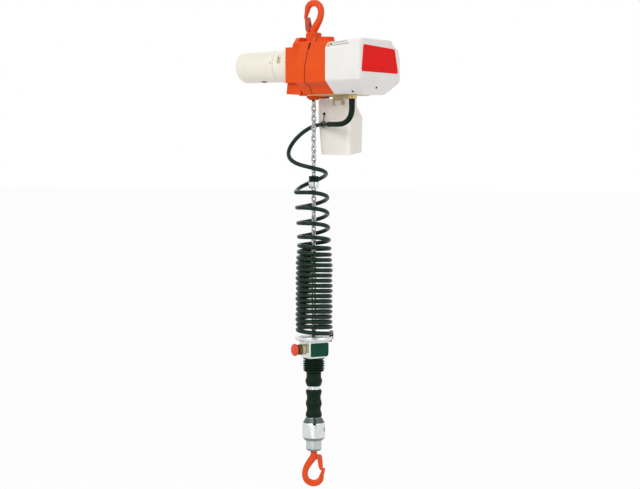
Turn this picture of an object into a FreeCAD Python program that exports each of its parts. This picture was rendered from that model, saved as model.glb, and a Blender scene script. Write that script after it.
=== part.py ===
"""Electric chain hoist with a hanging cylinder control, written as one solid or group of solids per sub-part.

Millimetres, +Z up. The origin is the centre of the top hook's bowl, and the load chain hangs on the Z axis.
The motor lies towards -X, the controller towards +X, and the front of the hoist faces -Y.
"""
import FreeCAD, Part
import math
import os

V = FreeCAD.Vector
X_AXIS = V(1, 0, 0)
Y_AXIS = V(0, 1, 0)
Z_AXIS = V(0, 0, 1)

# Running clearance of turning parts, and the small gap between parts that rest on each other
RUN = 0.3
SEAT = 0.2

# Hooks, both the same forging
BOWL_R = 14.5
HOOK_MID_R = 21.4
HOOK_THICK = 13.0
SHANK_R = 8.0
HOOK_NECK = 47.0
LATCH_PIN_R = 2.5
LATCH_PIVOT = (13.5, 43.5)
LATCH_END = (14.5, 13.5)
LATCH_WIDTH = 11.0
LATCH_WALL = 1.5
LATCH_EAR = 7.0
LATCH_DEEP = 4.2
EAR_R = 4.5
NUT_R = 13.0
NUT_HIGH = 9.0
THREAD_R = 7.0
BEARING_HIGH = 8.0

# Load chain
WIRE = 4.0
PITCH = 12.0
LINK_PLAY = 0.1
LINK_INNER = 5.4
POCKETS = 5
CROWN_GAP = 0.35
WHEEL_SPACE = 13.0
WHEEL_RIM_R = 20.2
WHEEL_HALF = 11.5

# Levels of the body, from the top hook's bowl
YOKE_TOP = -49.0
YOKE_BOTTOM = -72.0
CROWN_TOP = -61.0
CASE_TOP = -75.0
CASE_BOTTOM = -198.0
MOTOR_Z = -124.0
WHEEL_Z = -158.0

# Gear casing, along X
BLOCK_LEFT = -45.0
BLOCK_HALF = 58.0
BLOCK_TOP = -86.0
BLOCK_BOTTOM = -170.0
WIDE_LEFT = 3.0
SPLIT = 30.0
CASE_RIGHT = 90.0
CASE_WALL = 4.0
END_WALL = 6.0
CROWN_LEFT = -32.0
CROWN_RIGHT = 74.0
CROWN_HALF = 29.0
CASE_BOLT_R = 3.0
YOKE_HALF = 20.0
YOKE_DEEP = 17.0
YOKE_PIN_R = 3.0
YOKE_PIN_Z = -66.5

# Motor
MOTOR_R = 41.0
MOTOR_LEFT = -212.0
MOTOR_JOINT = -93.0
MOTOR_WALL = 2.5
BRUSH_X = -73.5
EDGE_R = 15.0
STATOR_INNER_R = 27.0
SHAFT_R = 6.0
BEARING_R = 13.0
BEARING_WIDE = 9.0

# Gears: module, teeth and face width
FIRST_MODULE = 1.25
MOTOR_TEETH = 14
FIRST_TEETH = 50
SECOND_MODULE = 1.5
PINION_TEETH = 14
LOAD_TEETH = 40
FIRST_FACE = 10.0
SECOND_FACE = 14.0
FIRST_X = 36.0
SECOND_X = 60.0

# Controller cover, along X
COVER_RIGHT = 190.0
COVER_HALF = 90.0
COVER_TOP = -70.0
COVER_WAIST = -168.0
COVER_BOTTOM = -200.0
COVER_WALL = 3.0
COVER_LAP = 6.0
COVER_BOTTOM_HALF = 43.0
LABEL_TOP = -88.0
LABEL_HIGH = 62.0
LABEL_THICK = 1.0

# Plate and guide under the casing, chain container
PLATE_THICK = 3.0
GUIDE_DROP = 9.0
CHAIN_HOLE_R = 10.0
BOX_TOP = -207.0
BOX_BOTTOM = -342.0
BOX_WALL = 2.0
BOX_CORNER = 9.0
HANGER_X = 58.0
PIN_R = 2.0

# Cord
CORD_R = 5.0
COIL_R = 39.0
COIL_TOP = -432.0
CORD_EXIT = (123.0, -19.0)
CORD_START = -226.0
GLAND_R = 11.0
TIE_KNOB_R = 3.2

# Chain stop and control unit
CUSHION_TOP = -391.0
CUSHION_HIGH = 14.0
STOPPER_HIGH = 16.0
STOPPER_R = 12.0
DISC_TOP = -776.0
DISC_R = 45.0
DISC_THICK = 6.0
INLET_OUT = 41.0
INLET_R = 6.0
INLET_TURN = 56.0
CASE_SIDE = 55.0
UNIT_BOTTOM = -828.0
UNIT_TURN = -24.8
UNIT_WALL = 4.0
BUTTON_Z = -807.0
BUTTON_TRAVEL = 4.0
TUBE_R = 15.0
TUBE_WALL = 3.0
BELLOWS_BOTTOM = -864.0
RIBS = 6
SLEEVE_BOTTOM = -897.0
GRIP_TOP = -905.0
GRIP_BOTTOM = -972.5
COUPLER_BOTTOM = -1028.0
COUPLER_R = 27.5
BARREL_R = 18.7
BARREL_TOP = -1008.0
ANCHOR_PIN_R = 1.9
TUBE_LOW = -984.0
BARREL_BOTTOM = -1053.0
LOW_HOOK_Z = -1112.0
LOW_HOOK_TURN = 35.0

# The chain runs round the wheel on a polygon whose corners are the end bars of the flat links
SIDE_TURN = 180.0 / POCKETS
TURN_COS = math.cos(math.radians(SIDE_TURN))
TURN_SIN = math.sin(math.radians(SIDE_TURN))
FLAT_SIDE = PITCH + LINK_PLAY + WIRE
UPRIGHT_SIDE = FLAT_SIDE - 2 * (WIRE + CROWN_GAP)
FLAT_R = (UPRIGHT_SIDE + FLAT_SIDE * TURN_COS) / (2 * TURN_SIN)
UPRIGHT_R = (FLAT_SIDE + UPRIGHT_SIDE * TURN_COS) / (2 * TURN_SIN)
WHEEL_Y = FLAT_R
SLACK_Y = WHEEL_Y + UPRIGHT_R
LINK_OUTER = LINK_INNER + 2 * WIRE
LINK_MID_R = (LINK_INNER + WIRE) / 2

# The container's left wall and front stand just outside the slack strand
BOX_LEFT = -(LINK_OUTER / 2 + 0.5 + BOX_WALL)
BOX_FRONT = SLACK_Y + BOX_LEFT


FIRST_DISTANCE = FIRST_MODULE * (MOTOR_TEETH + FIRST_TEETH) / 2
SECOND_DISTANCE = SECOND_MODULE * (PINION_TEETH + LOAD_TEETH) / 2


def box(x0, x1, y0, y1, z0, z1):
    """Return a box between two corners."""
    return Part.makeBox(x1 - x0, y1 - y0, z1 - z0, V(x0, y0, z0))


def post(radius, z0, z1, x=0.0, y=0.0):
    """Return a cylinder along Z."""
    return Part.makeCylinder(radius, z1 - z0, V(x, y, z0), Z_AXIS)


def rod(radius, x0, x1, y, z):
    """Return a cylinder along X."""
    return Part.makeCylinder(radius, x1 - x0, V(x0, y, z), X_AXIS)


def cross_rod(radius, y0, y1, x, z):
    """Return a cylinder along Y."""
    return Part.makeCylinder(radius, y1 - y0, V(x, y0, z), Y_AXIS)


def turned(profile, x=0.0, y=0.0):
    """Revolve a closed outline of (radius, z) points about Z."""
    points = [V(x + r, y, z) for r, z in profile]
    face = Part.Face(Part.makePolygon(points + points[:1]))
    return face.revolve(V(x, y, 0), Z_AXIS, 360)


def turned_x(profile, y, z):
    """Revolve a closed outline of (x, radius) points about a line along X."""
    points = [V(x, y, z + r) for x, r in profile]
    face = Part.Face(Part.makePolygon(points + points[:1]))
    return face.revolve(V(0, y, z), X_AXIS, 360)


def slab_x(outline, x0, x1):
    """Extrude a closed outline of (y, z) points along X."""
    points = [V(x0, y, z) for y, z in outline]
    face = Part.Face(Part.makePolygon(points + points[:1]))
    return face.extrude(V(x1 - x0, 0, 0))


def slab_y(outline, y0, y1):
    """Extrude a closed outline of (x, z) points along Y."""
    points = [V(x, y0, z) for x, z in outline]
    face = Part.Face(Part.makePolygon(points + points[:1]))
    return face.extrude(V(0, y1 - y0, 0))


def rectangle(x0, x1, y0, y1, z, corner):
    """Return a closed wire, a rectangle with round corners, level at z."""
    solid = box(x0, x1, y0, y1, z, z + 1)
    upright = [e for e in solid.Edges if abs(e.tangentAt(e.FirstParameter).z) > 0.9]
    rounded = solid.makeFillet(corner, upright)
    bottom = min(rounded.Faces, key=lambda f: f.CenterOfMass.z)
    return bottom.OuterWire


def loft(wires):
    """Return the ruled solid through the wires."""
    return Part.makeLoft(wires, True, True)


def joined(shapes):
    """Fuse shapes into one solid and merge its coplanar faces."""
    return shapes[0].multiFuse(shapes[1:]).removeSplitter()


def rounded(shape, radius, chosen):
    """Round the edges for which chosen(edge) is true."""
    return shape.makeFillet(radius, [e for e in shape.Edges if chosen(e)])


def turned_about(shape, degrees, axis=Z_AXIS, centre=V(0, 0, 0)):
    """Return a copy turned about an axis through a point."""
    copy = shape.copy()
    copy.rotate(centre, axis, degrees)
    return copy


def moved(shape, x, y, z):
    """Return a copy moved by a vector."""
    copy = shape.copy()
    copy.translate(V(x, y, z))
    return copy


def save(name, shape):
    """Write one sub-part, a solid or a group of separate solids."""
    if isinstance(shape, list):
        shape = Part.makeCompound(shape)
    shape.exportStep("parts/" + name + ".step")


# Chain links


def chain_link():
    """Return one link, a hexagonal bar bent into a long loop in the XZ plane with its length along Z."""
    half = PITCH / 2 + LINK_PLAY / 2
    corner_r = LINK_MID_R / math.cos(math.pi / 8)
    corners = []
    for step in range(4):
        angle = math.radians(22.5 + 45 * step)
        corners.append((corner_r * math.cos(angle), half - LINK_INNER / 2 + corner_r * math.sin(angle)))
    corners += [(-x, -z) for x, z in corners]
    bar_r = WIRE / math.sqrt(3)
    rings = []
    count = len(corners)
    for index, (x, z) in enumerate(corners):
        before = V(corners[index - 1][0] - x, 0, corners[index - 1][1] - z).normalize()
        after = V(corners[(index + 1) % count][0] - x, 0, corners[(index + 1) % count][1] - z).normalize()
        inward = (before + after).normalize()
        stretch = 1 / math.sin(before.getAngle(after) / 2)
        ring = []
        for step in range(6):
            angle = math.radians(30 + 60 * step)
            ring.append(V(x, 0, z) + inward * (bar_r * math.cos(angle) * stretch) + Y_AXIS * (bar_r * math.sin(angle)))
        rings.append(ring)
    faces = []
    for index, ring in enumerate(rings):
        following = rings[(index + 1) % count]
        for step in range(6):
            other = (step + 1) % 6
            edge = [ring[step], ring[other], following[other], following[step]]
            faces.append(Part.Face(Part.makePolygon(edge + edge[:1])))
    solid = Part.Solid(Part.Shell(faces))
    if solid.Volume < 0:
        solid.reverse()
    return solid


def strand(y, top, first, last, upright_first):
    """Return links first to last of a hanging strand whose link 0 is centred at height top."""
    links = []
    for index in range(first, last + 1):
        upright = (index % 2 == 0) == upright_first
        link = turned_about(LINK, 90) if upright else LINK
        links.append(moved(link, 0, y, top - PITCH * index))
    return links


def wrapped(first, last):
    """Return the links on the wheel, number 0 being the one beside the axle on the load side."""
    links = []
    for index in range(first, last + 1):
        link = turned_about(LINK, 90) if index % 2 else LINK
        link = moved(link, 0, -UPRIGHT_R if index % 2 else -FLAT_R, 0)
        link = turned_about(link, -SIDE_TURN * index, X_AXIS)
        links.append(moved(link, 0, WHEEL_Y, WHEEL_Z))
    return links


LINK = chain_link()


# Hooks


def hook_section(angle_deg, middle_r, half_deep, half_thick):
    """Return one oval section of the bowl, given by its angle round the bowl's centre."""
    angle = math.radians(angle_deg)
    out = V(math.cos(angle), 0, math.sin(angle))
    return oval(out * middle_r, out, half_deep, half_thick)


def oval(centre, across, half_deep, half_thick):
    """Return an oval wire whose long half lies along a direction in the XZ plane."""
    ellipse = Part.Ellipse(centre + across * half_deep, centre + Y_AXIS * half_thick, centre)
    return Part.Wire([ellipse.toShape()])


def forged_hook(shank_end, thread_r):
    """Return the hook in its own frame: bowl centre at the origin, shank up +Z, opening towards +X."""
    tangent = 153.0
    out = V(math.cos(math.radians(tangent)), 0, math.sin(math.radians(tangent)))
    along = V(-out.z, 0, out.x) * -1
    neck = V(0, 0, HOOK_NECK)
    half = HOOK_THICK / 2
    sections = [
        oval(neck, V(-1, 0, 0), SHANK_R + 0.31, SHANK_R + 0.3),
        oval(V(-3.2, 0, 40.5), V(-0.94, 0, 0.34).normalize(), 8.3, 7.4),
        oval(out * (HOOK_MID_R + 0.1) + along * 18, out, 7.3, half),
        hook_section(tangent, HOOK_MID_R, 7.1, half),
        hook_section(180, HOOK_MID_R + 0.2, 7.2, half),
        hook_section(215, HOOK_MID_R + 0.1, 7.7, half),
        hook_section(250, HOOK_MID_R, 8.1, half),
        hook_section(290, HOOK_MID_R - 0.2, 8.0, half),
        hook_section(325, HOOK_MID_R - 0.9, 7.0, half - 0.4),
        hook_section(355, HOOK_MID_R - 2.2, 5.4, half - 1.2),
        oval(V(23.2, 0, 9.5), V(0.93, 0, -0.36).normalize(), 3.6, 3.5),
        oval(V(25.6, 0, 15.5), V(0.93, 0, -0.36).normalize(), 1.9, 1.8),
    ]
    bar = Part.makeLoft(sections, True, False)
    shank = post(SHANK_R, HOOK_NECK - 1, shank_end)
    thread = post(thread_r, shank_end - 0.5, shank_end + NUT_HIGH)
    ear = box(4, LATCH_PIVOT[0], -LATCH_EAR / 2, LATCH_EAR / 2, LATCH_PIVOT[1] - EAR_R, LATCH_PIVOT[1] + EAR_R)
    ear_end = cross_rod(EAR_R, -LATCH_EAR / 2, LATCH_EAR / 2, *LATCH_PIVOT)
    hole = cross_rod(LATCH_PIN_R, -LATCH_EAR, LATCH_EAR, *LATCH_PIVOT)
    land = cross_rod(BOWL_R, -HOOK_THICK, HOOK_THICK, 0, 0)
    return bar.multiFuse([shank, thread, ear, ear_end]).cut(hole).cut(land)


def hook_latch():
    """Return the latch in the hook's frame: a channel that straddles the ear and ends inside the hook's tip."""
    reach = V(LATCH_END[0] - LATCH_PIVOT[0], 0, LATCH_END[1] - LATCH_PIVOT[1])
    length = reach.Length
    half = LATCH_WIDTH / 2
    outer = EAR_R + RUN + LATCH_WALL
    end = EAR_R + RUN
    body = box(-outer, LATCH_DEEP, -half, half, -end, length)
    body = rounded(body, 3.0, lambda e: e.CenterOfMass.z < 1 - end and abs(e.CenterOfMass.y) < 1)
    hollow = box(-outer + LATCH_WALL, 10, -half + LATCH_WALL, half - LATCH_WALL, -10, length - LATCH_WALL)
    taper = turned_about(box(LATCH_DEEP, 30, -10, 10, 0, 60), -7, Y_AXIS, V(LATCH_DEEP, 0, 0))
    pin = cross_rod(LATCH_PIN_R + 0.05, -20, 20, 0, 0)
    body = body.cut(hollow).cut(taper).cut(pin)
    lean = math.degrees(math.atan2(reach.x, -reach.z))
    body = turned_about(body, 180 - lean, Y_AXIS)
    return moved(body, LATCH_PIVOT[0], 0, LATCH_PIVOT[1])


def latch_pin():
    """Return the latch's rivet in the hook's frame."""
    half = LATCH_WIDTH / 2 + SEAT
    parts = [cross_rod(LATCH_PIN_R - 0.02, -half, half, *LATCH_PIVOT)]
    parts.append(cross_rod(LATCH_PIN_R + 1.2, -half - 1.2, -half, *LATCH_PIVOT))
    parts.append(cross_rod(LATCH_PIN_R + 1.2, half, half + 1.2, *LATCH_PIVOT))
    return joined(parts)


def hook_nut(shank_end):
    """Return the castle nut on the shank in the hook's frame, and its washer face."""
    nut = prism(6, NUT_R, shank_end + SEAT, shank_end + NUT_HIGH)
    return nut.cut(post(THREAD_R + 0.05, shank_end - 1, shank_end + NUT_HIGH + 1))


def prism(sides, corner_r, z0, z1):
    """Return an upright prism with equal sides."""
    points = []
    for step in range(sides):
        angle = 2 * math.pi * step / sides
        points.append(V(corner_r * math.cos(angle), corner_r * math.sin(angle), z0))
    return Part.Face(Part.makePolygon(points + points[:1])).extrude(V(0, 0, z1 - z0))


def to_top(shape):
    """Turn a shape from the hook's frame to the top hook: shank down, opening towards -X."""
    return turned_about(shape, 180, Y_AXIS)


def to_bottom(shape):
    """Move a shape from the hook's frame to the bottom hook."""
    return moved(turned_about(shape, LOW_HOOK_TURN), 0, 0, LOW_HOOK_Z)


def build_hooks():
    """Write both hooks with their latches, pins and nuts."""
    top_shank_end = -YOKE_BOTTOM
    save("top_hook", to_top(forged_hook(top_shank_end, THREAD_R)))
    save("top_hook_nut", to_top(hook_nut(top_shank_end)))
    save("top_latch", to_top(hook_latch()))
    save("top_latch_pin", to_top(latch_pin()))
    low_shank_end = BARREL_TOP + BEARING_HIGH - LOW_HOOK_Z
    save("bottom_hook", to_bottom(forged_hook(low_shank_end, THREAD_R)))
    save("bottom_hook_nut", to_bottom(hook_nut(low_shank_end)))
    save("bottom_latch", to_bottom(hook_latch()))
    save("bottom_latch_pin", to_bottom(latch_pin()))


# Gears


def involute(value):
    """Return the involute of an angle in radians."""
    return math.tan(value) - value


def gear(module, teeth, x0, width, y, z, phase_deg, bore):
    """Return a spur gear along X with involute flanks; a tooth is centred at phase_deg from +Y towards +Z."""
    pressure = math.radians(20)
    pitch_r = module * teeth / 2
    base_r = pitch_r * math.cos(pressure)
    tip_r = pitch_r + 0.95 * module
    root_r = pitch_r - 1.25 * module
    backlash = 0.16 * module
    half_pitch = (math.pi * module / 2 - backlash) / 2 / pitch_r
    flank = []
    for share in (0.0, 0.35, 0.7, 1.0):
        radius = max(base_r, root_r) + share * (tip_r - max(base_r, root_r))
        local = math.acos(min(1.0, base_r / radius))
        flank.append((radius, half_pitch + involute(pressure) - involute(local)))
    if root_r < base_r:
        flank.insert(0, (root_r, flank[0][1]))
    points = []
    for tooth in range(teeth):
        middle = math.radians(phase_deg) + 2 * math.pi * tooth / teeth
        ring = [(radius, middle - half) for radius, half in flank]
        ring += [(radius, middle + half) for radius, half in reversed(flank)]
        points += [V(x0, y + r * math.cos(a), z + r * math.sin(a)) for r, a in ring]
    body = Part.Face(Part.makePolygon(points + points[:1])).extrude(V(width, 0, 0))
    return body.cut(rod(bore, x0 - 1, x0 + width + 1, y, z))


def gear_places():
    """Return the intermediate shaft's place, in front of the line between motor and wheel."""
    dy = WHEEL_Y
    dz = WHEEL_Z - MOTOR_Z
    apart = math.hypot(dy, dz)
    along = (FIRST_DISTANCE ** 2 - SECOND_DISTANCE ** 2 + apart ** 2) / (2 * apart)
    aside = math.sqrt(FIRST_DISTANCE ** 2 - along ** 2)
    unit = (dy / apart, dz / apart)
    return unit[0] * along + unit[1] * aside, MOTOR_Z + unit[1] * along - unit[0] * aside


MID_Y, MID_Z = gear_places()


def direction(y0, z0, y1, z1):
    """Return the angle from one shaft to another, in degrees from +Y towards +Z."""
    return math.degrees(math.atan2(z1 - z0, y1 - y0))


def build_drive():
    """Write the rotor, the intermediate shaft, the pocket wheel and their gears and bearings."""
    first_line = direction(0, MOTOR_Z, MID_Y, MID_Z)
    second_line = direction(MID_Y, MID_Z, WHEEL_Y, WHEEL_Z)

    shaft = rod(SHAFT_R, MOTOR_LEFT + 8, FIRST_X + FIRST_FACE + 2, 0, MOTOR_Z)
    pinion = gear(FIRST_MODULE, MOTOR_TEETH, FIRST_X, FIRST_FACE, 0, MOTOR_Z, first_line, SHAFT_R - 0.5)
    save("motor_shaft", joined([shaft, pinion]))
    core_left = MOTOR_LEFT + 32
    core_right = MOTOR_JOINT - 8
    core = rod(STATOR_INNER_R - 0.8, core_left, core_right, 0, MOTOR_Z)
    for slot in range(12):
        slot_cut = box(core_left - 1, core_right + 1, 17, 40, MOTOR_Z - 1.5, MOTOR_Z + 1.5)
        core = core.cut(turned_about(slot_cut, 30 * slot, X_AXIS, V(0, 0, MOTOR_Z)))
    core = core.cut(rod(SHAFT_R + 0.02, core_left - 1, core_right + 1, 0, MOTOR_Z))
    save("motor_armature", core)
    bars = rod(15, MOTOR_JOINT + 4, MOTOR_JOINT + 22, 0, MOTOR_Z)
    save("commutator", bars.cut(rod(SHAFT_R + 0.02, -120, 0, 0, MOTOR_Z)))

    mid_left = SPLIT - BEARING_WIDE
    mid = rod(SHAFT_R, mid_left, CASE_RIGHT - END_WALL + 1, MID_Y, MID_Z)
    second_pinion = gear(SECOND_MODULE, PINION_TEETH, SECOND_X - 1, SECOND_FACE + 2, MID_Y, MID_Z,
                         second_line, SHAFT_R - 0.5)
    save("intermediate_shaft", joined([mid, second_pinion]))
    follow = first_line + 180 + 180.0 / FIRST_TEETH
    save("intermediate_gear", gear(FIRST_MODULE, FIRST_TEETH, FIRST_X, FIRST_FACE, MID_Y, MID_Z,
                                   follow, SHAFT_R + 0.02))
    follow = second_line + 180 + 180.0 / LOAD_TEETH
    save("load_gear", gear(SECOND_MODULE, LOAD_TEETH, SECOND_X, SECOND_FACE, WHEEL_Y, WHEEL_Z,
                           follow, SHAFT_R + 0.02))
    save("load_wheel", pocket_wheel())

    bearings = []
    for x, y, z in bearing_places():
        race = rod(BEARING_R, x, x + BEARING_WIDE, y, z)
        bearings.append(race.cut(rod(SHAFT_R + 0.05, x - 1, x + BEARING_WIDE + 1, y, z)))
    save("bearings", bearings)


def bearing_places():
    """Return the left face and axis of each ball bearing."""
    right = CASE_RIGHT - END_WALL - BEARING_WIDE
    return [
        (MOTOR_LEFT + MOTOR_WALL + 6, 0.0, MOTOR_Z),
        (BLOCK_LEFT + 2, 0.0, MOTOR_Z),
        (SPLIT - BEARING_WIDE, MID_Y, MID_Z),
        (right, MID_Y, MID_Z),
        (-WHEEL_SPACE - BEARING_WIDE - 2, WHEEL_Y, WHEEL_Z),
        (right, WHEEL_Y, WHEEL_Z),
    ]


def pocket_wheel():
    """Return the wheel with its shaft: a groove for the upright links and a pocket for each flat one."""
    wheel = rod(WHEEL_RIM_R, -WHEEL_HALF, WHEEL_HALF, 0, 0)
    groove_half = WIRE / 2 + 1.0
    groove = rod(WHEEL_RIM_R + 1, -groove_half, groove_half, 0, 0)
    groove = groove.cut(rod(UPRIGHT_R - LINK_OUTER / 2 - 0.6, -groove_half, groove_half, 0, 0))
    wheel = wheel.cut(groove)
    pocket_half = LINK_OUTER / 2 + 0.6
    floor = FLAT_R - WIRE / math.sqrt(3) - 0.3
    length = PITCH / 2 + WIRE + 0.8
    for index in range(POCKETS):
        pocket = box(-pocket_half, pocket_half, -WHEEL_RIM_R - 2, -floor, -length, length)
        wheel = wheel.cut(turned_about(pocket, -2 * SIDE_TURN * index, X_AXIS))
    shaft = rod(SHAFT_R, -WHEEL_SPACE - BEARING_WIDE - 1, CASE_RIGHT - END_WALL + 1, 0, 0)
    return moved(wheel.fuse(shaft), 0, WHEEL_Y, WHEEL_Z)


# Gear casing


def case_outline(inset):
    """Return the wide casing's outline in the YZ plane, front and back alike, moved inwards by inset."""
    half = [
        (56 - 0.7 * inset, CASE_TOP - inset),
        (68 - inset, CASE_TOP - 25),
        (80 - inset, CASE_TOP - 62),
        (80 - inset, BLOCK_BOTTOM - 1),
        (60 - inset, BLOCK_BOTTOM - 10 + 0.6 * inset),
        (48 - 0.6 * inset, CASE_BOTTOM + inset),
    ]
    return half + [(-y, z) for y, z in reversed(half)]


def crown(x0, x1):
    """Return the saddle on top of the casing that the yoke sits in."""
    outline = [(-CROWN_HALF - 12, CASE_TOP - 3), (-CROWN_HALF, CROWN_TOP - 3), (-CROWN_HALF + 5, CROWN_TOP),
               (CROWN_HALF - 5, CROWN_TOP), (CROWN_HALF, CROWN_TOP - 3), (CROWN_HALF + 12, CASE_TOP - 3)]
    return slab_x(outline, x0, x1)


def yoke_room():
    """Return the slot in the crown that holds the yoke, and the well for the nut below it."""
    slot = box(-YOKE_HALF - RUN, YOKE_HALF + RUN, -60, 60, YOKE_BOTTOM - SEAT, CROWN_TOP + 5)
    well = post(NUT_R + 2, YOKE_BOTTOM - NUT_HIGH - 4, YOKE_BOTTOM)
    pin = rod(YOKE_PIN_R + 0.02, CROWN_LEFT - 1, SPLIT + 20, 0, YOKE_PIN_Z)
    return slot.multiFuse([well, pin])


def build_case():
    """Write the two halves of the gear casing, their bolts, and the yoke with its pins."""
    block = box(BLOCK_LEFT, WIDE_LEFT, -BLOCK_HALF, BLOCK_HALF, BLOCK_BOTTOM, BLOCK_TOP)
    block = rounded(block, 7.0, lambda e: abs(e.CenterOfMass.z - (BLOCK_TOP + BLOCK_BOTTOM) / 2) < 1
                    and e.CenterOfMass.x < BLOCK_LEFT + 1)
    shoulder = slab_y([(BLOCK_LEFT + 6, BLOCK_TOP), (CROWN_LEFT, CASE_TOP), (WIDE_LEFT, CASE_TOP),
                       (WIDE_LEFT, BLOCK_TOP)], -BLOCK_HALF + 8, BLOCK_HALF - 8)
    foot = slab_y([(BLOCK_LEFT - 2, BLOCK_BOTTOM + 1), (BLOCK_LEFT - 5, CASE_BOTTOM + 2), (-5, CASE_BOTTOM),
                   (-5, CASE_BOTTOM + 12), (-1, CASE_BOTTOM + 18), (-1, BLOCK_BOTTOM + 1)], -45, 45)
    foot = rounded(foot, 4.0, lambda e: e.BoundBox.ZLength > 20 and e.CenterOfMass.x < -40)
    core = box(-6, WIDE_LEFT + 1, -22, 54, CASE_BOTTOM, BLOCK_BOTTOM + 1)
    wide = slab_x(case_outline(0), WIDE_LEFT, SPLIT)
    left = block.multiFuse([shoulder, foot, core, wide, crown(CROWN_LEFT, SPLIT)]).removeSplitter()
    chamber = slab_x([(-16, CASE_BOTTOM - 1), (-16, WHEEL_Z + 14), (-6, WHEEL_Z + 27), (44, WHEEL_Z + 27),
                      (54, WHEEL_Z + 14), (54, CASE_BOTTOM - 1)], -WHEEL_SPACE, WHEEL_SPACE)
    left = left.cut(chamber)
    left = left.cut(rod(SHAFT_R + 3, BLOCK_LEFT - 10, SPLIT + 1, 0, MOTOR_Z))
    left = left.cut(rod(SHAFT_R + 2, -WHEEL_SPACE - 1, SPLIT + 1, WHEEL_Y, WHEEL_Z))
    for x, y, z in bearing_places()[1:3] + bearing_places()[4:5]:
        left = left.cut(rod(BEARING_R + 0.02, x, x + BEARING_WIDE + 0.02, y, z))
    left = left.cut(rod(BEARING_R + 0.02, BLOCK_LEFT - 6, BLOCK_LEFT + 3, 0, MOTOR_Z))
    left = left.cut(rod(BEARING_R + 0.02, -WHEEL_SPACE - 3, -WHEEL_SPACE + 1, WHEEL_Y, WHEEL_Z))
    left = left.cut(yoke_room())

    wide = slab_x(case_outline(0), SPLIT, CASE_RIGHT)
    right = wide.fuse(crown(SPLIT, CROWN_RIGHT)).removeSplitter()
    right = right.cut(slab_x(case_outline(CASE_WALL), SPLIT - 1, CASE_RIGHT - END_WALL))
    for x, y, z in (bearing_places()[3], bearing_places()[5]):
        boss = rod(BEARING_R + 3, x, CASE_RIGHT - END_WALL + 1, y, z)
        right = right.fuse(boss)
        right = right.cut(rod(BEARING_R + 0.02, x - 1, x + BEARING_WIDE, y, z))
        right = right.cut(rod(SHAFT_R + 1, x, CASE_RIGHT - END_WALL + 2, y, z))
    right = right.cut(yoke_room())
    bolts = []
    for y, z in bolt_places():
        left = left.cut(rod(CASE_BOLT_R, SPLIT - 14, SPLIT + 1, y, z))
        right = right.fuse(rod(CASE_BOLT_R + 4, SPLIT, CASE_RIGHT - END_WALL + 1, y, z))
        right = right.cut(rod(CASE_BOLT_R, SPLIT - 1, CASE_RIGHT + 1, y, z))
        right = right.cut(rod(CASE_BOLT_R + 2.5, CASE_RIGHT - 4, CASE_RIGHT + 1, y, z))
        shank = rod(CASE_BOLT_R - 0.02, SPLIT - 12, CASE_RIGHT - 3, y, z)
        head = rod(CASE_BOLT_R + 2.2, CASE_RIGHT - 4 + 0.02, CASE_RIGHT - 0.5, y, z)
        bolts.append(shank.fuse(head))
    save("gear_case_left", left)
    save("gear_case_right", right.removeSplitter())
    save("case_bolts", bolts)

    yoke = box(-YOKE_HALF, YOKE_HALF, -YOKE_DEEP, YOKE_DEEP, YOKE_BOTTOM, YOKE_TOP)
    yoke = rounded(yoke, 7.0, lambda e: e.BoundBox.ZLength > 10)
    yoke = yoke.makeChamfer(3.0, [e for e in yoke.Edges if e.CenterOfMass.z > YOKE_TOP - 0.5])
    yoke = yoke.cut(post(SHANK_R + RUN, YOKE_BOTTOM - 1, YOKE_TOP + 1))
    pins = []
    for side in (-1, 1):
        x0 = YOKE_HALF - 8 if side > 0 else CROWN_LEFT + 1
        x1 = SPLIT + 19 if side > 0 else -YOKE_HALF + 8
        yoke = yoke.cut(rod(YOKE_PIN_R, min(x0, x1) - 0.1, max(x0, x1) + 0.1, 0, YOKE_PIN_Z))
        pins.append(rod(YOKE_PIN_R - 0.02, x0, x1, 0, YOKE_PIN_Z))
    save("hook_yoke", yoke)
    save("yoke_pins", pins)


def bolt_places():
    """Return the axes of the bolts that hold the casing halves together."""
    return [(-54, CASE_TOP - 20), (54, CASE_TOP - 20), (-68, BLOCK_BOTTOM + 4), (68, BLOCK_BOTTOM + 4)]


# Motor housing


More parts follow.
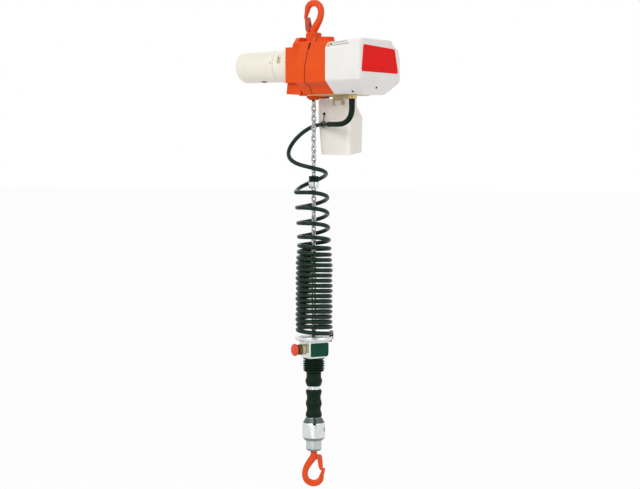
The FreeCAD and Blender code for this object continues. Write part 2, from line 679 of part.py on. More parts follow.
def build_motor():
    """Write the motor's end frame, cover, stator, brush holders and fan."""
    frame = turned_x([(MOTOR_JOINT, MOTOR_R - MOTOR_WALL - 2), (MOTOR_JOINT, MOTOR_R + 0.5),
                      (BLOCK_LEFT - 6, MOTOR_R + 4), (BLOCK_LEFT, MOTOR_R + 4), (BLOCK_LEFT, BEARING_R + 4),
                      (BLOCK_LEFT - 4, BEARING_R + 4), (BLOCK_LEFT - 4, MOTOR_R - 4)], 0, MOTOR_Z)
    window = box(BRUSH_X - 5.5, BRUSH_X + 5.5, -MOTOR_R - 10, -MOTOR_R + 8, MOTOR_Z + 2, MOTOR_Z + 30)
    frame = frame.cut(window).cut(moved(turned_about(window, 180, X_AXIS), 0, 0, 2 * MOTOR_Z))
    save("motor_end_frame", frame)

    caps = []
    for side in (1, -1):
        cap = box(BRUSH_X - 5.3, BRUSH_X + 5.3, -MOTOR_R + 1, -MOTOR_R + 3.6, MOTOR_Z + 2.2, MOTOR_Z + 29.8)
        cap = cap.common(rod(MOTOR_R - 0.8, BRUSH_X - 8, BRUSH_X + 8, 0, MOTOR_Z))
        holder = box(BRUSH_X - 4, BRUSH_X + 4, -MOTOR_R + 3, -15.3, MOTOR_Z + 3, MOTOR_Z + 9)
        caps.append(turned_about(cap.fuse(holder), 0 if side > 0 else 180, X_AXIS, V(0, 0, MOTOR_Z)))
    save("brush_holders", caps)

    curve = []
    for step in range(7):
        angle = math.radians(15 * step)
        curve.append((MOTOR_LEFT + EDGE_R - EDGE_R * math.sin(angle), MOTOR_R - EDGE_R + EDGE_R * math.cos(angle)))
    inner = []
    for x, r in reversed(curve):
        inner.append((max(x, MOTOR_LEFT + MOTOR_WALL), r - MOTOR_WALL))
    outline = [(MOTOR_JOINT, MOTOR_R)] + curve + [(MOTOR_LEFT, 0), (MOTOR_LEFT + MOTOR_WALL, 0)]
    outline += inner + [(MOTOR_JOINT, MOTOR_R - MOTOR_WALL)]
    cover = turned_x(outline, 0, MOTOR_Z)
    seat_left = MOTOR_LEFT + MOTOR_WALL
    boss = rod(BEARING_R + 3, seat_left - 0.5, seat_left + 6 + BEARING_WIDE, 0, MOTOR_Z)
    boss = boss.cut(rod(BEARING_R + 0.02, seat_left + 6, seat_left + 30, 0, MOTOR_Z))
    boss = boss.cut(rod(SHAFT_R + 1, seat_left + 1, seat_left + 30, 0, MOTOR_Z))
    cover = cover.fuse(boss)
    drain = rod(4, -8, 8, 0, 0)
    drain = moved(turned_about(drain, 90, Y_AXIS), MOTOR_JOINT - 18, 0, MOTOR_Z - MOTOR_R)
    save("motor_cover", cover.cut(drain))

    stator_r = MOTOR_R - MOTOR_WALL
    stator = rod(stator_r, MOTOR_LEFT + 34, MOTOR_JOINT - 10, 0, MOTOR_Z)
    stator = stator.cut(rod(STATOR_INNER_R, MOTOR_LEFT, MOTOR_JOINT, 0, MOTOR_Z))
    for side in (-1, 1):
        flat = box(MOTOR_LEFT, MOTOR_JOINT, side * 37 - 2, side * 37 + 2, MOTOR_Z - 12, MOTOR_Z + 12)
        stator = stator.cut(flat)
    save("motor_stator", stator)
    hub_left = BLOCK_LEFT - 20
    fan = rod(10, hub_left, hub_left + 12, 0, MOTOR_Z)
    blade = box(hub_left + 2, hub_left + 12, 9, 32, MOTOR_Z - 1, MOTOR_Z + 1)
    plate = rod(32, hub_left, hub_left + 2, 0, MOTOR_Z)
    blades = [turned_about(blade, 40 * step, X_AXIS, V(0, 0, MOTOR_Z)) for step in range(9)]
    fan = fan.multiFuse([plate] + blades).removeSplitter()
    save("motor_fan", fan.cut(rod(SHAFT_R + 0.02, hub_left - 1, hub_left + 13, 0, MOTOR_Z)))


# Controller


def cover_body(wall):
    """Return the controller cover's outside for wall 0, or the room inside it for its wall."""
    half = COVER_HALF - wall
    top = COVER_TOP - wall
    outline = [(-half, top - 14), (-half + 13, top), (half - 38, top), (half - 28, top - 15), (half - 9, top - 21),
               (half, top - 42), (half, COVER_WAIST), (-half, COVER_WAIST)]
    upper = slab_x(outline, CASE_RIGHT, COVER_RIGHT - wall)
    if wall == 0:
        upper = rounded(upper, 6.0, lambda e: e.CenterOfMass.x > COVER_RIGHT - 0.5
                        and e.CenterOfMass.z > COVER_WAIST + 1)
    low_half = COVER_BOTTOM_HALF - wall
    high = Part.makePolygon([V(CASE_RIGHT, -half, COVER_WAIST), V(COVER_RIGHT - wall, -half, COVER_WAIST),
                             V(COVER_RIGHT - wall, half, COVER_WAIST), V(CASE_RIGHT, half, COVER_WAIST),
                             V(CASE_RIGHT, -half, COVER_WAIST)])
    low = COVER_BOTTOM + wall
    end = COVER_RIGHT - 17 - wall
    bottom = Part.makePolygon([V(CASE_RIGHT, -low_half, low), V(end, -low_half, low), V(end, low_half, low),
                               V(CASE_RIGHT, low_half, low), V(CASE_RIGHT, -low_half, low)])
    return upper.fuse(Part.makeLoft([high, bottom], True, True))


def build_controller():
    """Write the controller cover, its screws, the bare plate on its end, the board and the transformer."""
    rim = box(CASE_RIGHT, CASE_RIGHT + COVER_WALL, -2 * COVER_HALF, 2 * COVER_HALF, 2 * COVER_BOTTOM, 0)
    rim = rim.cut(slab_x(case_outline(COVER_LAP), CASE_RIGHT, CASE_RIGHT + COVER_WALL))
    cover = cover_body(0).removeSplitter().cut(cover_body(COVER_WALL).cut(rim))
    channel = box(CASE_RIGHT + 18, COVER_RIGHT - 22, -2.2, 2.2, -1.5, 4)
    recess = box(CASE_RIGHT + 4, CASE_RIGHT + 16, -5, 5, -2, 6)
    grooves = turned_about(channel.fuse(recess), 47, X_AXIS)
    grooves = moved(grooves, 0, -COVER_HALF + 6.5, COVER_TOP - 7)
    cover = cover.cut(grooves)
    screws = []
    for y, z in ((-COVER_HALF + 20, COVER_WAIST + 14), (COVER_HALF - 20, COVER_WAIST + 14), (0, COVER_TOP - 12)):
        post_in = rod(5, CASE_RIGHT + 0.02, COVER_RIGHT - COVER_WALL + 0.5, y, z)
        cover = cover.fuse(post_in)
        cover = cover.cut(rod(2, CASE_RIGHT - 1, CASE_RIGHT + 22, y, z))
        screws.append(rod(1.98, CASE_RIGHT + 0.5, CASE_RIGHT + 20, y, z))
    gland_hole = post(GLAND_R - 3, COVER_BOTTOM - 5, COVER_BOTTOM + 20, *CORD_EXIT)
    save("controller_cover", cover.cut(gland_hole))
    save("cover_screws", screws)

    outline = [(-80, LABEL_TOP - LABEL_HIGH), (-72, LABEL_TOP), (60, LABEL_TOP - 5), (76, LABEL_TOP - LABEL_HIGH)]
    plate = slab_x(outline, COVER_RIGHT, COVER_RIGHT + LABEL_THICK)
    save("end_plate", rounded(plate, 5.0, lambda e: e.BoundBox.XLength > 0.5 and e.BoundBox.YLength < 0.01))

    board_x = CASE_RIGHT + 30
    board = box(board_x, board_x + 1.6, -62, 62, COVER_WAIST + 6, COVER_TOP - 24)
    parts = [board]
    for step in range(4):
        y = -50 + 26 * step
        parts.append(box(board_x + 1.5, board_x + 14 + 3 * step, y, y + 16, COVER_WAIST + 20, COVER_WAIST + 40))
    spacers = [rod(4, CASE_RIGHT, board_x + 0.5, y, COVER_WAIST + 30) for y in (-54, 54)]
    save("controller_board", joined(parts + spacers))
    core = box(CASE_RIGHT, CASE_RIGHT + 24, -26, 26, COVER_TOP - 60, COVER_TOP - 18)
    winding = box(CASE_RIGHT + 2, CASE_RIGHT + 28, -16, 16, COVER_TOP - 52, COVER_TOP - 26)
    save("transformer", core.fuse(winding).removeSplitter())


# Below the casing


def container_body(wall):
    """Return the container's outside for wall 0, or the room inside it for its wall, open at the top."""
    left = BOX_LEFT + wall
    front = BOX_FRONT + wall
    corner = BOX_CORNER - wall
    mouth = BOX_TOP + (1 if wall else 0)

    def ring(x1, y1, z, dx=0.0, dy=0.0):
        return rectangle(left + dx, x1 - wall, front + dy, y1 - wall, z, corner)

    neck = loft([ring(72, 84, BOX_TOP - 16), ring(72, 84, mouth)])
    shoulder = loft([ring(83, 92, BOX_TOP - 44), ring(72, 84, BOX_TOP - 16)])
    belly = loft([ring(76, 86, BOX_BOTTOM + wall, 9, 5), ring(83, 92, BOX_TOP - 44)])
    return joined([neck, shoulder, belly])


def build_underside():
    """Write the bottom plate, chain guide, container with its hanger and pin, and the cord's gland and sleeve."""
    top = CASE_BOTTOM
    plate = box(WIDE_LEFT - 14, COVER_RIGHT - 62, -44, 52, top - PLATE_THICK, top)
    guide_hole = box(-14, 14, -15, SLACK_Y + 15, top - 20, top + 1)
    plate = plate.cut(guide_hole)
    gland_cut = post(GLAND_R + 0.5, top - 20, top + 1, *CORD_EXIT)
    step_cut = box(CASE_RIGHT, COVER_RIGHT, -60, 60, COVER_BOTTOM - 0.02, top + 1)
    save("bottom_plate", plate.cut(gland_cut).cut(step_cut))

    block = box(-13.5, 13.5, -14.5, SLACK_Y + 14.5, top - GUIDE_DROP + 2, top)
    block = rounded(block, 6.0, lambda e: e.BoundBox.ZLength > 5)
    block = block.fuse(post(CHAIN_HOLE_R + 3, top - GUIDE_DROP - 2, top - GUIDE_DROP + 3))
    for y in (0, SLACK_Y):
        block = block.cut(post(CHAIN_HOLE_R, top - 20, top + 1, 0, y))
    save("chain_guide", block)

    outside = container_body(0)
    inside = container_body(BOX_WALL)
    container = outside.cut(inside)
    tab = box(HANGER_X - 10, HANGER_X + 10, 18, 30, BOX_TOP - 14, BOX_TOP - 4)
    container = container.fuse(tab).cut(inside)
    pin_z = BOX_TOP - 9
    container = container.cut(rod(PIN_R + 0.02, 0, 100, 21.5, pin_z))
    save("chain_container", container)

    hanger = box(HANGER_X - 14, HANGER_X + 14, 16, 24, BOX_TOP - 16, top - PLATE_THICK)
    hanger = hanger.fuse(box(HANGER_X - 14, HANGER_X + 14, 16, 40, BOX_TOP + SEAT, top - PLATE_THICK))
    hanger = hanger.cut(box(HANGER_X - 10.3, HANGER_X + 10.3, 15, 30, BOX_TOP - 20, BOX_TOP - 3.5))
    hanger = hanger.cut(rod(PIN_R + 0.02, 0, 100, 21.5, pin_z))
    hanger = hanger.cut(outside)
    save("container_hanger", max(hanger.Solids, key=lambda s: s.Volume))
    save("container_pin", rod(PIN_R, HANGER_X - 16, HANGER_X + 16, 21.5, pin_z))

    x, y = CORD_EXIT
    gland_low = COVER_BOTTOM - 10
    gland = post(GLAND_R, gland_low, COVER_BOTTOM - SEAT, x, y).fuse(post(GLAND_R - 3.2, COVER_BOTTOM - 1,
                                                                         COVER_BOTTOM + 12, x, y))
    save("cord_gland", gland.cut(post(CORD_R + 0.02, gland_low - 1, COVER_BOTTOM + 13, x, y)))
    sleeve = turned([(CORD_R, gland_low), (7.2, gland_low), (6.0, CORD_START + 2), (5.8, CORD_START),
                     (CORD_R, CORD_START)], x, y)
    save("cord_sleeve", sleeve)


# Control cord


CORD_ROUTE = [
    (*CORD_EXIT, CORD_START), (*CORD_EXIT, CORD_START - 14), (117.5, -18.5, -253.5), (107, -17, -263), (93, -14, -268),
    (72, -9.5, -269), (43, 2, -268), (12, 16, -267), (-17, 22, -271), (-40, 17, -283), (-57, 8, -300),
    (-63, -8, -319), (-57, -27, -337), (-40, -41, -352), (-17, -46, -362), (7, -43, -368), (27, -31, -373),
    (36, -9, -378), (29, 16, -385), (9, 32, -393), (-15, 33, -402), (-34, 20, -411), (-41, -2, -421),
    (-34, -20, -433),
]
TIE_RUN = 6
TIE_SHARE = 0.74
TIE_HOLD = (13.5, BOX_FRONT - TIE_KNOB_R - SEAT, -242.0)


def soft_path(points):
    """Return a wire of straight runs and tangent arcs, each arc as large as its two runs allow."""
    corners = [V(*p) for p in points]
    edges = []
    here = corners[0]
    radii = []
    for index in range(1, len(corners) - 1):
        back = corners[index - 1] - corners[index]
        ahead = corners[index + 1] - corners[index]
        reach = 0.45 * min(back.Length, ahead.Length)
        turn = math.pi - back.getAngle(ahead)
        radii.append(reach / math.tan(turn / 2))
        back.normalize()
        ahead.normalize()
        start = corners[index] + back * reach
        end = corners[index] + ahead * reach
        inward = (back + ahead).normalize()
        middle = corners[index] + inward * (radii[-1] / math.cos(turn / 2) - radii[-1])
        edges.append(Part.LineSegment(here, start).toShape())
        edges.append(Part.Arc(start, middle, end).toShape())
        here = end
    edges.append(Part.LineSegment(here, corners[-1]).toShape())
    print("cord bends, mm:", [round(r) for r in radii])
    return Part.Wire(edges)


def build_cord():
    """Write the cord's lead, the tube that its curly part fills, and the tie at the container."""
    path = soft_path(CORD_ROUTE)
    first = V(*CORD_ROUTE[1]) - V(*CORD_ROUTE[0])
    ring = Part.Wire([Part.makeCircle(CORD_R, V(*CORD_ROUTE[0]), first)])
    lead = path.makePipeShell([ring], True, False)
    share = lead.Volume / (math.pi * CORD_R ** 2 * path.Length)
    print("lead, mm:", round(path.Length), "volume share:", round(share, 3))
    save("cord_lead", lead)
    coil = post(COIL_R + CORD_R, DISC_TOP + RUN, COIL_TOP)
    save("cord_coil", coil.cut(post(COIL_R - CORD_R, DISC_TOP, COIL_TOP + 1)))
    hold = V(*TIE_HOLD)
    along = V(*CORD_ROUTE[TIE_RUN + 1]) - V(*CORD_ROUTE[TIE_RUN])
    at = V(*CORD_ROUTE[TIE_RUN]) + along * TIE_SHARE
    ring = Part.makeTorus(CORD_R + 2.2, 1.0, at, along)
    gap = at - hold
    strap = Part.makeCylinder(1.2, gap.Length - CORD_R - 1.6, hold, gap)
    knob = Part.makeSphere(TIE_KNOB_R, hold)
    save("cord_tie", ring.multiFuse([strap, knob]))


# Chain and what hangs on it


def build_chain():
    """Write the chain's two strands, the cushion and the stopper."""
    upper_last = int((-CUSHION_TOP + WHEEL_Z) / PITCH)
    anchor_link = int((-DISC_TOP + WHEEL_Z + 22) / PITCH)
    hanging = strand(0, WHEEL_Z, 1, upper_last, False)
    save("load_chain_upper", wrapped(0, POCKETS - 1) + hanging)
    save("load_chain_lower", strand(0, WHEEL_Z, upper_last + 1, anchor_link, False))
    slack = int((-BOX_TOP + 42 + WHEEL_Z) / PITCH)
    save("slack_chain", strand(SLACK_Y, WHEEL_Z, 0, slack, True))
    hole = LINK_OUTER / 2 + 0.5
    cushion = turned([(hole, CUSHION_TOP - CUSHION_HIGH + SEAT), (STOPPER_R, CUSHION_TOP - CUSHION_HIGH + SEAT),
                      (STOPPER_R, CUSHION_TOP - 2), (STOPPER_R - 2, CUSHION_TOP), (hole, CUSHION_TOP)])
    save("chain_cushion", cushion)
    stop_top = CUSHION_TOP - CUSHION_HIGH
    stopper = turned([(hole, stop_top - STOPPER_HIGH), (STOPPER_R - 1.5, stop_top - STOPPER_HIGH),
                      (STOPPER_R, stop_top - STOPPER_HIGH + 1.5), (STOPPER_R, stop_top), (hole, stop_top)])
    screw = cross_rod(2.5, -STOPPER_R - 1, -hole + 1, 0, stop_top - STOPPER_HIGH / 2)
    save("chain_stopper", stopper.cut(screw))
    return WHEEL_Z - PITCH * anchor_link, anchor_link % 2 == 1


def build_unit(last_link_z, upright):
    """Write the control unit's disc, case, panel, stop button, anchor and inner tube."""
    disc = turned([(12, DISC_TOP - DISC_THICK), (DISC_R - 8, DISC_TOP - DISC_THICK), (DISC_R - 5, DISC_TOP - 10),
                   (DISC_R - 1, DISC_TOP - 9), (DISC_R, DISC_TOP - 4), (DISC_R, DISC_TOP - 1), (DISC_R - 1, DISC_TOP),
                   (12, DISC_TOP)])
    turn = math.radians(INLET_TURN)
    inlet = post(INLET_R, DISC_TOP - 2.5 * DISC_THICK, DISC_TOP - 1, INLET_OUT * math.cos(turn),
                 INLET_OUT * math.sin(turn))
    save("control_disc", disc.fuse(inlet))

    half = CASE_SIDE / 2
    case_top = DISC_TOP - DISC_THICK
    shell = [rectangle(-half, half, -half, half, case_top - SEAT / 2, 7),
             rectangle(-half, half, -half, half, UNIT_BOTTOM + 14, 7),
             rectangle(-half + 3, half - 3, -half + 3, half - 3, UNIT_BOTTOM, 7)]
    body = loft(shell[1:]).fuse(loft(shell[:2])).removeSplitter()
    room = box(-half + UNIT_WALL, half - UNIT_WALL, -half + UNIT_WALL, half - UNIT_WALL,
               UNIT_BOTTOM + 6, case_top + 1)
    body = body.cut(room).cut(post(TUBE_R + 0.02, UNIT_BOTTOM - 1, UNIT_BOTTOM + 8))
    body = body.cut(cross_rod(8.2, -half - 1, -half + UNIT_WALL + 1, 0, BUTTON_Z))
    save("control_case", turned_about(body, UNIT_TURN))
    panel = box(half, half + 1.4, -24.5, 24.5, UNIT_BOTTOM + 14.2, case_top - 4)
    panel = rounded(panel, 3.0, lambda e: e.BoundBox.XLength > 1 and e.BoundBox.YLength < 0.01)
    save("panel_plate", turned_about(panel, UNIT_TURN))

    collar = cross_rod(12.5, -half - 16, -half - SEAT / 2, 0, BUTTON_Z)
    collar = collar.fuse(cross_rod(8.1, -half - 1, -half + UNIT_WALL + 4, 0, BUTTON_Z))
    collar = collar.cut(cross_rod(5 + RUN, -half - 20, 0, 0, BUTTON_Z))
    save("estop_collar", turned_about(collar, UNIT_TURN))
    back = half + 16 + BUTTON_TRAVEL + 1.5
    profile = [(0, back - 22), (5, back - 22), (5, back), (12, back), (14.5, back + 1.5), (15, back + 4),
               (13.5, back + 6.5), (9, back + 8.3), (0, back + 9)]
    points = [V(r, -s, 0) for r, s in profile]
    mushroom = Part.Face(Part.makePolygon(points + points[:1])).revolve(V(0, 0, 0), Y_AXIS, 360)
    save("estop_button", turned_about(moved(mushroom, 0, 0, BUTTON_Z), UNIT_TURN))

    tube_top = UNIT_BOTTOM + 16
    anchor = post(TUBE_R - 0.5, tube_top + SEAT / 2, last_link_z + 6)
    fork = box(-2.6, 2.6, -20, 20, last_link_z - 11.5, last_link_z + 7)
    cross = box(-20, 20, -2.6, 2.6, last_link_z - 11.5, last_link_z + 7)
    anchor = anchor.cut(fork).cut(cross)
    anchor = anchor.fuse(post(TUBE_R - TUBE_WALL - 0.05, tube_top - 12, tube_top + 0.5))
    pin_z = last_link_z - PITCH / 2 + ANCHOR_PIN_R + LINK_PLAY
    pin = rod(ANCHOR_PIN_R, -TUBE_R + 1, TUBE_R - 1, 0, pin_z)
    hole = rod(ANCHOR_PIN_R + 0.02, -20, 20, 0, pin_z)
    if upright:
        turn = 0
    else:
        turn = 90
    save("chain_anchor", anchor.cut(turned_about(hole, turn)))
    save("chain_anchor_pin", turned_about(pin, turn))
    tube = post(TUBE_R, TUBE_LOW, tube_top)
    save("inner_tube", tube.cut(post(TUBE_R - TUBE_WALL, TUBE_LOW - 1, tube_top + 1)))


def build_grips():
    """Write the bellows, the finger sleeve and the lower grip."""
    inner = TUBE_R + 1.0
    fin = TUBE_R + 11.5
    valley = TUBE_R + 6.5
    top = UNIT_BOTTOM - SEAT
    outline = [(inner, top), (fin - 1.5, top), (fin - 1.5, top - 3)]
    span = (top - 3 - BELLOWS_BOTTOM - 3) / RIBS
    for rib in range(RIBS):
        level = top - 3 - span * rib
        shrink = 4.0 * max(0, rib - 3) / 2
        outline += [(valley - shrink, level - 0.2 * span), (fin - shrink, level - 0.55 * span),
                    (fin - shrink, level - 0.7 * span)]
    outline += [(valley - 3, BELLOWS_BOTTOM + 2), (valley - 3, BELLOWS_BOTTOM), (inner, BELLOWS_BOTTOM)]
    save("bellows", turned(outline))
    inner = TUBE_R + RUN
    top = BELLOWS_BOTTOM - SEAT
    waist = TUBE_R + 2.0
    bulge = TUBE_R + 5.0
    save("finger_sleeve", turned([(inner, top), (waist, top), (waist, top - 9), (bulge - 1.5, top - 13),
                                  (bulge + 0.3, top - 18), (bulge + 0.3, top - 23), (bulge - 1.5, top - 28),
                                  (waist - 0.5, SLEEVE_BOTTOM), (inner, SLEEVE_BOTTOM)]))
    inner = TUBE_R
    outline = [(inner, GRIP_TOP), (waist, GRIP_TOP)]
    last = GRIP_BOTTOM + 6.5
    for middle in (GRIP_TOP - 7, GRIP_TOP - 37, last):
        outline += [(bulge - 0.5, middle + 4), (bulge, middle), (bulge - 0.5, middle - 4)]
        if middle > last:
            outline += [(waist, middle - 10), (waist, middle - 18)]
    outline += [(waist + 0.5, GRIP_BOTTOM), (inner, GRIP_BOTTOM)]
    save("lower_grip", turned(outline))


def build_coupler():
    """Write the coupler, its barrel and the bottom hook's thrust bearing."""
    top = GRIP_BOTTOM - SEAT
    body = turned([(TUBE_R, top), (TUBE_R + 4, top), (COUPLER_R, top - 15), (COUPLER_R, COUPLER_BOTTOM + 7),
                   (COUPLER_R - 6, COUPLER_BOTTOM), (BARREL_R + 0.02, COUPLER_BOTTOM),
                   (BARREL_R + 0.02, TUBE_LOW - 3), (TUBE_R, TUBE_LOW - 3)])
    for step in range(3):
        slot = box(TUBE_R + 2, COUPLER_R + 5, -2, 2, top - 16, top + 1)
        body = body.cut(turned_about(slot, -55 + 120 * step))
    slot = box(COUPLER_R - 3, COUPLER_R + 1, -2, 2, COUPLER_BOTTOM + 21, COUPLER_BOTTOM + 33)
    save("coupler_body", body.cut(turned_about(slot, 12)))
    barrel = turned([(SHANK_R + RUN, BARREL_BOTTOM), (BARREL_R - 3, BARREL_BOTTOM), (BARREL_R, BARREL_BOTTOM + 4),
                     (BARREL_R, BARREL_TOP), (SHANK_R + RUN, BARREL_TOP)])
    save("coupler_barrel", barrel)
    bearing = turned([(SHANK_R + 0.1, BARREL_TOP + SEAT), (16, BARREL_TOP + SEAT), (16, BARREL_TOP + 3),
                      (14.5, BARREL_TOP + 4), (16, BARREL_TOP + 5), (16, BARREL_TOP + BEARING_HIGH),
                      (SHANK_R + 0.1, BARREL_TOP + BEARING_HIGH)])
    save("thrust_bearing", bearing)


def main():
    """Build every sub-part."""
    os.makedirs("parts", exist_ok=True)
    build_hooks()
    build_case()
    build_drive()
    build_motor()
    build_controller()
    build_underside()
    build_cord()
    last_link_z, upright = build_chain()
    build_unit(last_link_z, upright)
    build_grips()
    build_coupler()


main()
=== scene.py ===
"""Looks of an electric chain hoist with a hanging cylinder control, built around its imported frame.

Metres, +Z up. The load chain hangs on the Z axis below the top hook's bowl, the motor lies towards -X, the
controller towards +X, and the front of the hoist faces -Y.
"""

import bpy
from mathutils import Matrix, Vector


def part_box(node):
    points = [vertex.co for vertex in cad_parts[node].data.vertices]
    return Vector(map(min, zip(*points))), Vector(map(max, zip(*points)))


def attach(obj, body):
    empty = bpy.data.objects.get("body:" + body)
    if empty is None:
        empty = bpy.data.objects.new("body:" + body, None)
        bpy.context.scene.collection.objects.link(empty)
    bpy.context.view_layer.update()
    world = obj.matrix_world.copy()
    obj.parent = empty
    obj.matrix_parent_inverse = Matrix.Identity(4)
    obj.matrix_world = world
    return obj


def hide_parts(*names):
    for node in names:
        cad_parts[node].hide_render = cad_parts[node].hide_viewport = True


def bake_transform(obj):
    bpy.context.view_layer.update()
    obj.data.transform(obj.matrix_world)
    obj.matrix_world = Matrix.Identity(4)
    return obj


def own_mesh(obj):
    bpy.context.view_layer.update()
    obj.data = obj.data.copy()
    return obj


bl_info = {
    "name": "Chain Hoist Dresser",
    "version": (1, 0, 0),
    "blender": (4, 5, 0),
    "location": "View3D > Sidebar > Hoist",
    "description": "Dresses the frame of a chain hoist with its castings, covers, cord, chain and hooks",
    "category": "Object",
}

import math

import bmesh
import bpy
import numpy as np
from mathutils import Vector

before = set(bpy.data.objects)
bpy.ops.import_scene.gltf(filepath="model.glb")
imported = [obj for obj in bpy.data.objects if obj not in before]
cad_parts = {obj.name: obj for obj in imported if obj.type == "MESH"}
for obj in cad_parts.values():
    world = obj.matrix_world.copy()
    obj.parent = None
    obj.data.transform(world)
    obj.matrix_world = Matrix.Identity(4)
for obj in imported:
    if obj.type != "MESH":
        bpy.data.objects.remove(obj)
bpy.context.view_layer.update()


def corners_of(node):
    """Return a frame node's lowest and highest corners as two arrays."""
    low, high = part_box(node)
    return np.array(low), np.array(high)


def linear(red, green, blue):
    """Return a display colour, 0 to 255 a channel, as linear light."""
    share = np.array([red, green, blue]) / 255
    light = np.where(share <= 0.04045, share / 12.92, ((share + 0.055) / 1.055) ** 2.4)
    return tuple(float(x) for x in light)


# Levels and radii read from the frame
CASE_FOOT = corners_of("gear_case_left")[0][2]
MOTOR_LOW, MOTOR_HIGH = corners_of("motor_cover")
COVER_LOW, COVER_HIGH = corners_of("controller_cover")
MOTOR_Z = (MOTOR_LOW[2] + MOTOR_HIGH[2]) / 2
MOTOR_R = (MOTOR_HIGH[2] - MOTOR_LOW[2]) / 2
WHEEL_Y, WHEEL_Z = (np.sum(corners_of("load_wheel"), axis=0) / 2)[1:]
SLACK_Y = (np.sum(corners_of("slack_chain"), axis=0) / 2)[1]


# Camera

VIEW_TURN = math.radians(35)
RIGHTWARD = np.array([math.cos(VIEW_TURN), math.sin(VIEW_TURN), 0])
TOWARD = np.array([math.sin(VIEW_TURN), -math.cos(VIEW_TURN), 0])


# Sizes and colours that a user would change

CURL_RADIUS = 0.0395


class HoistSizes(bpy.types.PropertyGroup):
    """Sizes of the pieces that the frame leaves open."""

    cord_diameter: bpy.props.FloatProperty(
        name="Cord diameter", description="Thickness of the curly control cord", default=0.010, unit="LENGTH")
    cord_length: bpy.props.FloatProperty(
        name="Cord length", description="Whole length of the cord along its curl", default=5.6, unit="LENGTH")
    coil_radius: bpy.props.FloatProperty(
        name="Curl radius", description="Radius of the curl's middle line", default=CURL_RADIUS,
        unit="LENGTH")
    wire: bpy.props.FloatProperty(
        name="Chain wire", description="Thickness of the load chain's wire", default=0.004, unit="LENGTH")
    pitch: bpy.props.FloatProperty(
        name="Chain pitch", description="Inner length of one link", default=0.012, unit="LENGTH")
    casing_edge: bpy.props.FloatProperty(
        name="Casing edges", description="Rounding of the cast casing's edges", default=0.0013, unit="LENGTH")
    cover_edge: bpy.props.FloatProperty(
        name="Cover edges", description="Rounding of the moulded cover's edges", default=0.0022,
        unit="LENGTH")


class HoistColours(bpy.types.PropertyGroup):
    """Colours of the finishes, as linear light."""

    hook: bpy.props.FloatVectorProperty(
        name="Hook enamel", description="Enamel of both hooks", subtype="COLOR", default=linear(238, 78, 10))
    casing: bpy.props.FloatVectorProperty(
        name="Casing paint", description="Paint of the gear casing", subtype="COLOR",
        default=linear(236, 80, 6))
    cream: bpy.props.FloatVectorProperty(
        name="Motor paint", description="Paint of the motor housing", subtype="COLOR",
        default=linear(250, 244, 229))
    white: bpy.props.FloatVectorProperty(
        name="Cover plastic", description="Plastic of the controller cover", subtype="COLOR",
        default=linear(246, 244, 241))
    milk: bpy.props.FloatVectorProperty(
        name="Container plastic", description="Plastic of the chain container", subtype="COLOR",
        default=linear(251, 244, 238))
    plate: bpy.props.FloatVectorProperty(
        name="End plate", description="Film on the cover's end", subtype="COLOR", default=linear(246, 14, 10))
    cord: bpy.props.FloatVectorProperty(
        name="Cord and rubber", description="Sheath of the cord and rubber parts", subtype="COLOR",
        default=linear(10, 38, 26))
    button: bpy.props.FloatVectorProperty(
        name="Stop button", description="Mushroom button", subtype="COLOR", default=linear(236, 78, 44))


class HoistStage(bpy.types.PropertyGroup):
    """Camera and light round the hoist."""

    distance: bpy.props.FloatProperty(
        name="Camera distance", description="From the chain to the camera", default=4.0, unit="LENGTH")
    eye: bpy.props.FloatProperty(
        name="Eye level", description="Camera height above the origin", default=-0.365, unit="LENGTH")
    key: bpy.props.FloatProperty(
        name="Key light", description="Strength of the main lamp", default=46.0, unit="POWER")
    ambient: bpy.props.FloatProperty(
        name="Room light", description="Strength of the light from all round", default=0.58, min=0.0)


# Shapes: a shape is (points, quads, triangles), whole arrays, with its faces pointing outwards


def outward(points, quads, triangles):
    """Return the shape with its faces outwards, by the sign of the volume summed over its triangles."""
    fans = np.concatenate([quads[:, [0, 1, 2]], quads[:, [0, 2, 3]], triangles])
    a, b, c = points[fans[:, 0]], points[fans[:, 1]], points[fans[:, 2]]
    if np.einsum("ij,ij->i", a, np.cross(b, c)).sum() < 0:
        return points, quads[:, ::-1], triangles[:, ::-1]
    return points, quads, triangles


def skin(rings, closed=False):
    """Return a closed shape through loops of points.

    rings[i, j] is point j of loop i. Quads join (i, j), (i, j+1), (i+1, j+1) and (i+1, j), round every loop.
    closed joins the last loop to the first, and otherwise a fan about its middle closes each end.
    """
    rings = np.asarray(rings, float)
    count, around = rings.shape[:2]
    points = rings.reshape(-1, 3)
    i = np.arange(count if closed else count - 1)[:, None]
    j = np.arange(around)[None, :]
    beside = (j + 1) % around
    here, there = i * around, (i + 1) % count * around
    quads = np.stack([here + j, here + beside, there + beside, there + j], -1).reshape(-1, 4)
    triangles = np.zeros((0, 3), int)
    if not closed:
        ends = np.stack([rings[0].mean(0), rings[-1].mean(0)])
        last = (count - 1) * around
        first_fan = np.stack([np.full(around, len(points)), beside[0], j[0]], -1)
        last_fan = np.stack([np.full(around, len(points) + 1), last + j[0], last + beside[0]], -1)
        points = np.concatenate([points, ends])
        triangles = np.concatenate([first_fan, last_fan])
    return outward(points, quads, triangles)


def together(shapes):
    """Return several shapes as one, each with its own points."""
    points, quads, triangles, start = [], [], [], 0
    for shape in shapes:
        points.append(shape[0])
        quads.append(shape[1] + start)
        triangles.append(shape[2] + start)
        start += len(shape[0])
    return np.concatenate(points), np.concatenate(quads), np.concatenate(triangles)


def shifted(shape, offset):
    """Return the shape moved by an offset."""
    return shape[0] + np.asarray(offset, float), shape[1], shape[2]


